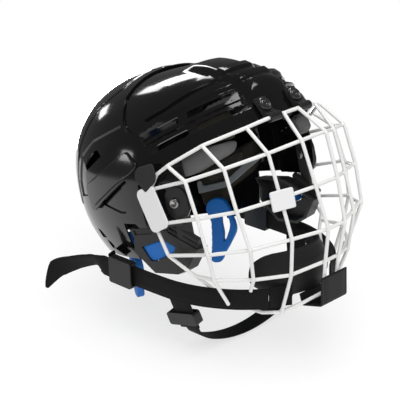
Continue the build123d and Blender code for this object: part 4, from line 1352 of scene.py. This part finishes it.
@dataclass
class Ears:
    """Ear covers with their foam, temple plates and screws; the window's corners are shares of the cover."""

    length: float = 82.0
    height: float = 46.5
    back: float = 25.0
    face: float = 95.5
    toe: float = -6.0
    window: Sequence[Pair] = (
        (0.16, 0.60), (0.50, 0.74), (0.67, 0.59), (0.63, 0.47), (0.34, 0.30), (0.26, 0.30))
    foam_face: float = 83.8
    foam_wall: float = 10.2
    screw_spot: Pair = (-43.4, 69.5)
    screw_head: Sequence[Pair] = (
        (0, -8.5), (2.3, -8.5), (2.3, 2.8), (4.6, 2.8), (4.6, 3.9), (4.2, 4.6), (3.5, 4.95), (2.9, 4.9),
        (2.6, 4.1), (0, 4.0))
    screw_nut: Sequence[Pair] = (
        (2.6, -9.0), (4.8, -9.0), (5.0, -8.8), (5.0, -7.7), (4.8, -7.5), (2.6, -7.5), (2.6, -9.0))

    def temple(self) -> Matrix:
        """Plane at the left temple screw.

        Returns:
            Its matrix.
        """
        y, z = self.screw_spot
        x = DOME.side(y, z)
        out = Vector((x / DOME.half_width ** 2, y / DOME.front ** 2, 0))
        return plane_matrix(Vector((x, y, z)), Vector((0, 0, 1)), out)

    def foam(self, name: str) -> bpy.types.Object:
        """Pad behind the left cover's window, toed in at the front like the cover.

        Args:
            name: name of the piece.

        Returns:
            The pad.
        """
        outline = [(self.back - s * self.length, t * self.height) for s, t in self.window]
        hinge = Matrix.Translation((self.face, self.back, 0))
        toe_in = hinge @ Matrix.Rotation(math.radians(self.toe), 4, "Z") @ hinge.inverted()
        place = toe_in @ plane_matrix(Vector((self.foam_face, 0, 0)), Vector((0, 1, 0)), Vector((1, 0, 0)))
        return SoftSlab(round_off(outline, 3.0), self.foam_wall, place, voxel=1.0, rounds=3).build(name)

    def build(self) -> None:
        """Makes and dresses the ear pieces."""
        for side in Side:
            dress(crisp_copy(side.node("ear_shell"), side.node("ear_cover"), 0.6), COVER, "shell",
                  side.node("ear_cover"))
            dress(on_side(side, self.foam(side.node("ear_pad"))), BLUE, "shell", side.node("ear_foam"),
                  fill=PAD_FILL)
            dress(crisp_copy(side.node("temple_disc"), side.node("temple_plate"), 0.7), MOULD, "shell",
                  side.node("temple_plate"))
        turned = []
        for kind, profile in (("head", self.screw_head), ("nut", self.screw_nut)):
            left = lathe("temple_" + kind, profile, self.temple())
            turned += [left, mirrored(left, left.name + "_far")]
        dress(joined("temple_screws", turned), STEEL, "shell", "temple_fasteners")


@dataclass
class Cage:
    """White wires with their weld beads, the end plates, the tag and the strap tabs.

    The rows are the crossings of each cross wire as shares of the cage's half width, reach and drop.
    """

    half_width: float = 99.0
    reach: float = 142.5
    top: float = 128.2
    drop: float = 178.2
    rows: Sequence[Sequence[tuple[float, float, float]]] = (
        ((0.162, 0.951, 0.134), (0.440, 0.845, 0.157), (0.808, 0.716, 0.177), (1.000, 0.509, 0.207)),
        ((0.147, 0.986, 0.369), (0.438, 0.875, 0.385), (0.808, 0.751, 0.393), (1.000, 0.547, 0.398)),
        ((0.115, 1.000, 0.594), (0.427, 0.895, 0.595), (0.768, 0.769, 0.594), (0.970, 0.550, 0.588)),
        ((0.091, 0.907, 0.769), (0.392, 0.806, 0.788), (0.667, 0.675, 0.767), (0.889, 0.500, 0.735)))
    bead_lift: float = 1.4
    bead_radii: tuple[float, float, float] = (2.15, 2.15, 2.5)
    tab_shares: Sequence[Pair] = (
        (0.293, 0.333), (-0.500, 0.481), (-0.500, -0.111), (0.086, -0.519), (0.500, -0.037))
    tab_length: float = 29.0
    tab_height: float = 27.0
    tab_middle: Pair = (-22.5, 96.0)
    tab_face: float = 101.0
    tab_wall: float = 2.3

    def beads(self) -> bpy.types.Object:
        """Small weld fillets where the uprights cross the bars.

        Returns:
            The fillets of both sides as one piece.
        """
        mesh = bmesh.new()
        for x, y, z in (share for row in self.rows for share in row):
            point = Vector((x * self.half_width, -y * self.reach, self.top - z * self.drop))
            out = (point - Vector((0, -self.reach / 4, point.z))).normalized()
            middle = point + out * self.bead_lift
            for sign in (1, -1):
                at = Vector((sign * middle.x, middle.y, middle.z))
                way = Vector((sign * out.x, out.y, out.z))
                place = Matrix.Translation(at) @ way.to_track_quat("Z", "Y").to_matrix().to_4x4()
                bmesh.ops.create_icosphere(mesh, subdivisions=2, radius=1.0,
                                           matrix=place @ Matrix.Diagonal((*self.bead_radii, 1.0)))
        return to_object("weld_beads", mesh)

    def build(self) -> None:
        """Dresses the wires and makes the rest of the cage."""
        for name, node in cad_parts.items():
            if name.startswith("cage_"):
                dress_node(name, CAGE)
                node.data.shade_smooth()
        dress(self.beads(), CAGE, "cage", slot="cage_white")
        dress(crisp_copy("wire_tag_block", "wire_tag", 1.0), PLATE, "cage", "wire_tag")
        outline = [(y * self.tab_length + self.tab_middle[0], z * self.tab_height + self.tab_middle[1])
                   for y, z in self.tab_shares]
        place = plane_matrix(Vector((self.tab_face, 0, 0)), Vector((0, 1, 0)), Vector((1, 0, 0)))
        tab = SoftSlab(round_off(outline, 5.5), self.tab_wall, place, voxel=0.6, rounds=3, wave=0.1)
        for side in Side:
            dress(crisp_copy(side.node("end_plate"), side.node("side_plate"), 0.7), PLATE, "cage",
                  side.node("side_plate"))
            dress(on_side(side, tab.build(side.node("snap_tab"))), TAB, side.node("tab"),
                  side.node("strap_tab"))
        dress_node("snap_studs", STEEL)


@dataclass
class ForeheadHinge:
    """Clips that hold the cage's top wire, with their wide screws and nuts."""

    spacing: float = 20.0
    level: float = 137.5
    inset: float = -3.5
    clip_half: float = 7.0
    screw_head: Sequence[Pair] = (
        (0, -9.9), (2.4, -9.9), (2.4, 3.9), (6.2, 3.9), (6.4, 4.2), (6.4, 5.2), (6.0, 5.9), (5.2, 6.35),
        (4.5, 6.4), (4.2, 6.1), (3.9, 6.1), (3.5, 6.5), (2.6, 6.5), (2.3, 5.6), (0, 5.4))
    screw_nut: Sequence[Pair] = (
        (2.7, -10.0), (5.3, -10.0), (5.5, -9.8), (5.5, -8.6), (5.3, -8.4), (2.7, -8.4), (2.7, -10.0))

    def plane(self, side: Side) -> Matrix:
        """Plane of the forehead at a clip screw.

        Args:
            side: the side of the screw.

        Returns:
            Its matrix.
        """
        wide, high = DOME.half_width - self.inset, DOME.height - self.inset
        length = DOME.length(-1, self.inset)
        inner = (self.spacing - self.clip_half) / wide
        forward = length * math.sqrt(DOME.plan_share(self.level, self.inset) ** 2 - inner ** 2)
        flat = math.hypot(inner, forward / length)
        rise = (self.level - DOME.level) / high
        out = Vector((0, -flat ** (DOME.power - 2) * forward / length ** 2, rise ** (DOME.power - 1) / high))
        return plane_matrix(Vector((side.value * self.spacing, -forward, self.level)), Vector((1, 0, 0)), out)

    def build(self) -> None:
        """Makes and dresses the clips and fasteners."""
        dress(crisp_copy("forehead_clip_pair", "forehead_clips", 0.5, 2), MOULD, "shell", "forehead_clips")
        made = [lathe(side.node("clip_" + kind), profile, self.plane(side)) for side in Side
                for kind, profile in (("head", self.screw_head), ("nut", self.screw_nut))]
        dress(joined("clip_screws", made), SCREW, "shell", "clip_fasteners")


@dataclass
class CupLayer:
    """Layer of the chin cup about its upright axis.

    inset is its distance in from the cup's outer surface, arc is the angle that it covers in degrees, and a
    soft layer is foam with a crowned inner face.
    """

    inset: float
    wall: float
    arc: float
    soft: bool
    radius: float = 44.0
    centre: float = 68.0
    top: float = 4.0
    bottom: float = -37.0
    steps: int = 72
    levels: int = 22
    end_start: float = 0.62
    end_drop: float = 9.0
    top_curl: float = 5.0
    bottom_curl: float = 9.0
    rim: float = 0.9
    groove: float = 0.5
    rib: float = 0.35
    rib_rate: float = 34.0

    def skin(self, share: float, s: float, border: float) -> float:
        """Relief of the hard cup's outer face: its rim, the groove within and the grip ribs.

        Args:
            share: place around the arc, from -1 to 1.
            s: place down the face, from 0 to 1.
            border: distance from the nearest edge, as a share.

        Returns:
            The height.
        """
        ribs = max(0.0, math.sin(s * self.rib_rate)) * (0.2 < s < 0.8) * (abs(share) < 0.5)
        return (self.rim * max(0.0, 1 - border / 0.07) - self.groove * max(0.0, 1 - abs(border - 0.11) / 0.03)
                - self.rib * ribs)

    def ring(self, share: float) -> list[Vector]:
        """Section of the layer at one place around the arc, down its outer and up its inner face.

        Args:
            share: the place, from -1 to 1.

        Returns:
            Points of the section.
        """
        angle = math.radians(share * self.arc / 2)
        end = max(0.0, (abs(share) - self.end_start) / (1 - self.end_start)) ** 2
        top, bottom = self.top - self.end_drop * end, self.bottom + self.end_drop * end
        points = []
        for inner in (False, True):
            for k in range(self.levels + 1):
                s = 1 - k / self.levels if inner else k / self.levels
                curl = self.top_curl * (1 - 2 * s) ** 2 if s < 0.5 else self.bottom_curl * (2 * s - 1) ** 2
                r = self.radius - self.inset - curl
                border = min(s, 1 - s, (1 - abs(share)) * 1.6)
                if inner:
                    r -= self.wall * (min(border / 0.2, 1.0) ** 0.5 * 0.8 + 0.2 if self.soft else 1.0)
                elif not self.soft:
                    r += self.skin(share, s, border)
                z = top + (bottom - top) * s
                points.append(Vector((r * math.sin(angle), -self.centre - r * math.cos(angle), z)))
        return points

    def build(self, name: str) -> bpy.types.Object:
        """Makes the layer.

        Args:
            name: name of the piece.

        Returns:
            The piece.
        """
        mesh = bmesh.new()
        rings = [[mesh.verts.new(point) for point in self.ring(2 * i / self.steps - 1)]
                 for i in range(self.steps + 1)]
        count = len(rings[0])
        for a, b in zip(rings, rings[1:]):
            for k in range(count):
                mesh.faces.new((a[k], a[(k + 1) % count], b[(k + 1) % count], b[k]))
        mesh.faces.new(list(reversed(rings[0])))
        mesh.faces.new(rings[-1])
        bmesh.ops.recalc_face_normals(mesh, faces=mesh.faces[:])
        return soften_edges(to_object(name, mesh), 0.5, 2, 45.0)


@dataclass
class ChinGroup:
    """Chin cup with its pad, the sleeve around the wires and the webbing ends beside the cup."""

    shell: CupLayer = field(default_factory=lambda: CupLayer(0.0, 2.6, 180, False))
    lining: CupLayer = field(default_factory=lambda: CupLayer(2.9, 6.8, 168, True))
    sleeve_route: Sequence[Pair] = ((-131.3, -22), (-125.4, -47.9), (-102.4, -47.9), (-101.9, -37.3))
    sleeve_width: float = 36.0
    end_shares: Sequence[Pair] = ((0.470, 0.6625), (0.372, 0.675), (0.273, 0.733))

    def sleeve(self) -> bpy.types.Object:
        """Band that wraps the bottom wires from below.

        Returns:
            The piece.
        """
        a, b, c, d = (Vector((0, y, z)) for y, z in self.sleeve_route)
        bend = [a, a.lerp(b, 0.82), b, b.lerp(c, 0.2), b.lerp(c, 0.9), c, d]
        return Ribbon(smooth_route(bend, 1.0), self.sleeve_width, edge=Vector((1, 0, 0))).build("chin_sleeve")

    def build(self) -> None:
        """Makes and dresses the chin pieces."""
        dress(self.shell.build("chin_cup_bowl"), CUP, "cage", "chin_cup")
        dress(self.lining.build("chin_cup_lining"), CUP_FOAM, "cage", "chin_cup_pad", fill=LINING_FILL)
        dress(self.sleeve(), SLEEVE, "cage", "chin_wrap")
        left = Harness().strap(self.end_shares, "cup_end")
        dress(joined("cup_webbing", [mirrored(left, "cup_end_far"), left]), WEBBING, "cage", "cup_straps")


@dataclass
class Harness:
    """Chin straps, loose ends, sliders and the throat strap.

    Routes in plan are shares of the cage's half width and reach. A row of the loose end is its place as
    shares of its length, and its roll in degrees.
    """

    plan_size: Pair = (Cage.half_width, Cage.reach)
    strap_level: float = Cage.top - 0.770 * Cage.drop
    strap_tilt: float = 14.5
    strap_width: float = 20.0
    chin: Sequence[Pair] = (
        (0.952, -0.440), (0.952, 0.035), (0.895, 0.267), (0.755, 0.463), (0.600, 0.595), (0.480, 0.660))
    tail: Sequence[tuple[float, ...]] = (
        (0, 0, 0, 0), (0, 0.244, 0, 0), (0.006, 0.335, 0.012, 25), (0.018, 0.443, 0.015, 42),
        (0.087, 0.664, -0.062, 33), (0.158, 0.876, -0.172, 12), (0.241, 0.993, -0.323, 8))
    tail_length: float = 86.0
    tail_steps: int = 8
    tail_lift: float = 2.1
    tail_start: float = 50.0
    tail_point: float = 0.85
    tail_droop: float = 10.0
    drop_top: tuple[float, float, float] = (87.0, -12.0, -8.0)
    drop_lean: float = 12.5
    drop_length: float = 48.0
    drop_width: float = 25.0
    throat: Sequence[Pair] = ((0.829, 0.41), (0.600, 0.706), (0.320, 0.918), (0, 1))
    throat_inward: float = 2.8
    throat_start: float = 31.0
    throat_bend: float = 54.0
    throat_low: float = -84.0
    throat_pivot: float = 38.0
    throat_tilt: float = 14.0
    throat_width: float = 18.0
    anchor_shares: Sequence[Pair] = ((0.917, 0.409), (0.861, 0.433), (0.800, 0.442))
    anchor_level: float = 11.0
    anchor_width: float = 14.0

    def plan(self, x: float, y: float) -> Vector:
        """Point of a strap's plan route at level zero."""
        return Vector((x * self.plan_size[0], -y * self.plan_size[1], 0))

    def lay(self) -> Matrix:
        """Lowers and tilts the chin straps."""
        tilt = Matrix.Rotation(math.radians(self.strap_tilt), 4, "X")
        return Matrix.Translation((0, 0, self.strap_level)) @ tilt

    def strap(self, shares: Sequence[Pair], name: str) -> bpy.types.Object:
        """Webbing along a plan route.

        Args:
            shares: the route.
            name: name of the piece.

        Returns:
            The piece.
        """
        route = smooth_route([self.plan(*share) for share in shares])
        return Ribbon(route, self.strap_width, turn=self.lay()).build(name)

    def hang(self, depth: float, inward: float) -> Vector:
        """Point on the left drop strap, by its depth below the top and distance inward."""
        place = Matrix.Translation(self.drop_top) @ Matrix.Rotation(math.radians(self.drop_lean), 4, "Y")
        return place @ Vector((-inward, 0, -depth))

    def tail_line(self) -> tuple[list[Vector], list[float]]:
        """Smooth line through the rows of the loose end.

        Returns:
            Its points and the roll at each.
        """
        start = self.plan(*self.chin[0]) + Vector((self.tail_lift, 0, 0))
        start.y = self.tail_start
        rows = [(start + Vector(row[:3]) * self.tail_length, row[3]) for row in self.tail]
        centres, rolls = [], []
        for index in range(len(rows) - 1):
            (a, lean), (b, next_lean) = rows[index], rows[index + 1]
            before, after = rows[max(index - 1, 0)][0], rows[min(index + 2, len(rows) - 1)][0]
            for k in range(self.tail_steps):
                t = k / self.tail_steps
                centres.append(0.5 * (2 * a + (b - before) * t
                                      + (2 * before - 5 * a + 4 * b - after) * t * t
                                      + (3 * a - before - 3 * b + after) * t ** 3))
                rolls.append(lean + (next_lean - lean) * t)
        return [*centres, rows[-1][0]], [*rolls, rows[-1][1]]

    def loose_end(self, name: str) -> bpy.types.Object:
        """Free end of the left chin strap, which turns as it goes and narrows to its tip.

        Args:
            name: name of the piece.

        Returns:
            The piece.
        """
        centres, rolls = self.tail_line()
        ends = len(centres) - 1
        shares = []
        for index in range(len(centres)):
            cut = clamp((index - ends + self.tail_steps) / self.tail_steps)
            shares.append(1 - self.tail_point * cut)
            centres[index] = centres[index] - Vector((0, 0, 1)) * (1 - shares[-1]) * self.tail_droop
        return Ribbon(centres, self.strap_width, rolls=rolls, shares=shares, turn=self.lay()).build(name)

    def drop(self, name: str) -> bpy.types.Object:
        """Short left strap that hangs from the ear cover.

        Args:
            name: name of the piece.

        Returns:
            The piece.
        """
        route = smooth_route([self.hang(0, 0), self.hang(self.drop_length, 0)])
        return Ribbon(route, self.drop_width, edge=Vector((0, 1, 0))).build(name)

    def throat_loop(self) -> bpy.types.Object:
        """Webbing that hangs under the chin between the lower sliders.

        Returns:
            The piece.
        """
        top, bend = (self.hang(depth, self.throat_inward) for depth in (self.throat_start, self.throat_bend))
        half = [Vector((top.x, 0, top.z)), Vector((bend.x, 0, bend.z))]
        half += [Vector((bend.x * x, 0, bend.z + z * (self.throat_low - bend.z))) for x, z in self.throat]
        route = half + [Vector((-p.x, 0, p.z)) for p in reversed(half[:-1])]
        level = self.hang(self.throat_pivot, 0).z
        turn = (Matrix.Translation((0, self.drop_top[1], level))
                @ Matrix.Rotation(math.radians(self.throat_tilt), 4, "X")
                @ Matrix.Translation((0, 0, -level)))
        ribbon = Ribbon(smooth_route(route), self.throat_width, edge=Vector((0, 1, 0)), turn=turn)
        return ribbon.build("throat_webbing")

    def build(self) -> None:
        """Makes and dresses the webbing and its sliders."""
        for side in Side:
            dress(on_side(side, self.strap(self.chin, side.node("chin_webbing"))), WEBBING, "shell",
                  side.node("chin_strap"))
            dress(on_side(side, self.loose_end(side.node("loose_end"))), WEBBING, side.node("slider"),
                  side.node("strap_tail"))
            dress(on_side(side, self.drop(side.node("drop_webbing"))), WEBBING, "shell",
                  side.node("drop_strap"))
            for piece, node in (("slider_block", "slider"), ("low_slider_block", "lower_slider")):
                dress(crisp_copy(side.node(piece), side.node(node), 0.8), MOULD, side.node(node),
                      side.node(node))
        dress(self.throat_loop(), WEBBING, "shell", "throat_strap")
        route = [Vector((x * DOME.half_width, y * DOME.back, self.anchor_level))
                 for x, y in self.anchor_shares]
        left = Ribbon(smooth_route(route, 1.5), self.anchor_width).build("anchor_near")
        dress(joined("anchor_webbing", [mirrored(left, "anchor_far"), left]), WEBBING, "rear",
              "strap_anchors")


@dataclass(frozen=True)
class Softbox:
    """Soft light by the direction it comes from, its spread and its radiance; angles are in degrees."""

    name: str
    azimuth: float
    elevation: float
    spread: Pair
    radiance: float
    glossy: bool = True
    diffuse: bool = False

    def build(self, aim: Vector, distance: float = 1.6) -> None:
        """Adds the light.

        Args:
            aim: point that it faces.
            distance: distance from that point, in metres.
        """
        sizes = [2 * distance * math.tan(math.radians(angle / 2)) for angle in self.spread]
        data = bpy.data.lights.new(self.name, "AREA")
        data.shape, data.size, data.size_y = "RECTANGLE", *sizes
        data.energy = self.radiance * math.pi * sizes[0] * sizes[1]
        made = add_object(self.name, data)
        a, e = math.radians(self.azimuth), math.radians(self.elevation)
        out = Vector((math.cos(a) * math.cos(e), math.sin(a) * math.cos(e), math.sin(e)))
        made.location = aim + out * distance
        made.rotation_mode = "QUATERNION"
        made.rotation_quaternion = out.to_track_quat("Z", "Y")
        made.visible_glossy, made.visible_diffuse = self.glossy, self.diffuse


@dataclass
class Studio:
    """Pale floor, soft lights and the camera of the photograph, with places in metres.

    The floor glows as well as it is lit, and it fades out between the two distances of floor_fade. The
    camera's axes are its x, y and z directions.
    """

    ambient: float = 0.5
    floor_up: Vector = field(default_factory=lambda: Vector((0, -0.2756, 0.9613)))
    floor_radius: float = 1500.0
    floor_clearance: float = 0.002
    floor_grey: float = 0.35
    floor_glow: float = 0.67
    floor_fade: Pair = (0.30, 0.62)
    tent_radius: float = 3000.0
    tent_foot: float = -0.04
    tent_glow: float = 0.14
    aim: tuple[float, float, float] = (0, 0, 0.08)
    eye: tuple[float, float, float] = (-0.86335, -0.91992, 0.29235)
    axes: Sequence[tuple[float, float, float]] = (
        (0.69563, -0.69083, -0.19711), (0.27396, 0.0014, 0.96174), (-0.66411, -0.72301, 0.19027))
    lens: float = 120.51
    shift: Pair = (-0.00703, 0.0026)
    lights: Sequence[Softbox] = (
        Softbox("crown_softbox", 56, 46, (20, 14), 13), Softbox("oval_softbox", 74.5, 43, (9, 12), 9),
        Softbox("rear_side_card", 83.5, 21.5, (9, 5), 7), Softbox("panel_card", 132, 11, (9, 6), 6),
        Softbox("band_card", 37, 58, (14, 14), 9), Softbox("forehead_card", -70, 62, (34, 14), 7),
        Softbox("rear_rim_card", 57, 0, (16, 7), 14),
        Softbox("top_soft", -90, 80, (60, 60), 1.3, False, True),
        Softbox("face_fill", -120, 30, (40, 40), 3.3, False, True))

    def backdrop(self) -> None:
        """White surroundings that light the helmet more softly than they look."""
        world = bpy.data.worlds.new("studio")
        bpy.context.scene.world = world
        world.use_nodes = True
        world.node_tree.nodes.clear()
        graph = Graph(world.node_tree)
        plain, white = (graph.add("Background", {"Color": WHITE, "Strength": strength}).outputs[0]
                        for strength in (self.ambient, 1.0))
        path = graph.add("LightPath").outputs
        seen = graph.math("MAXIMUM", path["Is Glossy Ray"], path["Is Transmission Ray"])
        seen = graph.math("MAXIMUM", path["Is Camera Ray"], seen)
        surface = graph.add("MixShader", {0: seen, 1: plain, 2: white}).outputs[0]
        graph.add("OutputWorld", {"Surface": surface})

    def floor(self) -> None:
        """Pale floor under the lowest strap, which fades out into the white before its rim."""
        up = self.floor_up.normalized()
        lowest = min(up.dot(node.matrix_world @ vert.co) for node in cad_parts.values()
                     for vert in node.data.vertices)
        mesh = bmesh.new()
        bmesh.ops.create_circle(mesh, cap_ends=True, segments=96, radius=self.floor_radius)
        piece = to_object("floor", mesh)
        piece.rotation_mode = "QUATERNION"
        piece.rotation_quaternion = up.to_track_quat("Z", "Y")
        piece.location = up * (lowest - self.floor_clearance)
        made, graph = empty_material("finish_floor")
        pale = graph.add("BsdfDiffuse", {"Color": (*(self.floor_grey,) * 3, 1)}).outputs[0]
        glow = graph.add("Emission", {"Color": WHITE, "Strength": self.floor_glow}).outputs[0]
        near = graph.add("AddShader", {0: pale, 1: glow}).outputs[0]
        place = graph.add("TexCoord").outputs["Object"]
        away = graph.add("VectorMath", {0: place}, operation="LENGTH").outputs[1]
        start, stop = self.floor_fade
        fade = graph.add("MapRange", {0: away, 1: start, 2: stop, 3: 0.0, 4: 1.0},
                         interpolation_type="SMOOTHSTEP").outputs[0]
        clear = graph.add("BsdfTransparent").outputs[0]
        surface = graph.add("MixShader", {0: fade, 1: near, 2: clear}).outputs[0]
        graph.add("OutputMaterial", {"Surface": surface})
        piece.data.materials.append(made)

    def tent(self) -> None:
        """Dark cloth round the set that only gloss sees, so that the black shell shows just the softboxes."""
        mesh = bmesh.new()
        bmesh.ops.create_uvsphere(mesh, u_segments=48, v_segments=32, radius=self.tent_radius)
        low = [v for v in mesh.verts if v.co.z < self.tent_foot * self.tent_radius]
        bmesh.ops.delete(mesh, geom=low, context="VERTS")
        piece = to_object("dark_tent", mesh)
        made, graph = empty_material("finish_tent")
        cloth = graph.add("Emission", {"Color": WHITE, "Strength": self.tent_glow}).outputs[0]
        graph.add("OutputMaterial", {"Surface": cloth})
        piece.data.materials.append(made)
        piece.visible_camera = piece.visible_diffuse = piece.visible_shadow = False
        piece.visible_transmission = False

    def camera(self) -> None:
        """Camera at the photograph's viewing angle."""
        data = bpy.data.cameras.new("photo_view")
        data.lens, data.sensor_width = self.lens, 36.0
        data.shift_x, data.shift_y = self.shift
        made = add_object("photo_view", data)
        made.matrix_world = Matrix.Translation(self.eye) @ Matrix(self.axes).transposed().to_4x4()
        bpy.context.scene.camera = made

    def build(self) -> None:
        """Sets up the stage, lights and camera."""
        bpy.context.scene.view_settings.view_transform = "Standard"
        self.backdrop()
        self.floor()
        self.tent()
        for light in self.lights:
            light.build(Vector(self.aim))
        self.camera()


def main() -> None:
    """Builds every group of the helmet in order."""
    logging.basicConfig(level=logging.INFO, format="%(name)s: %(message)s")
    Studio().build()
    for group in (Shells(), Liner(), Ears(), Cage(), ForeheadHinge(), ChinGroup(), Harness()):
        LOG.info("building %s", type(group).__name__)
        group.build()


if __name__ == "__main__":
    main()
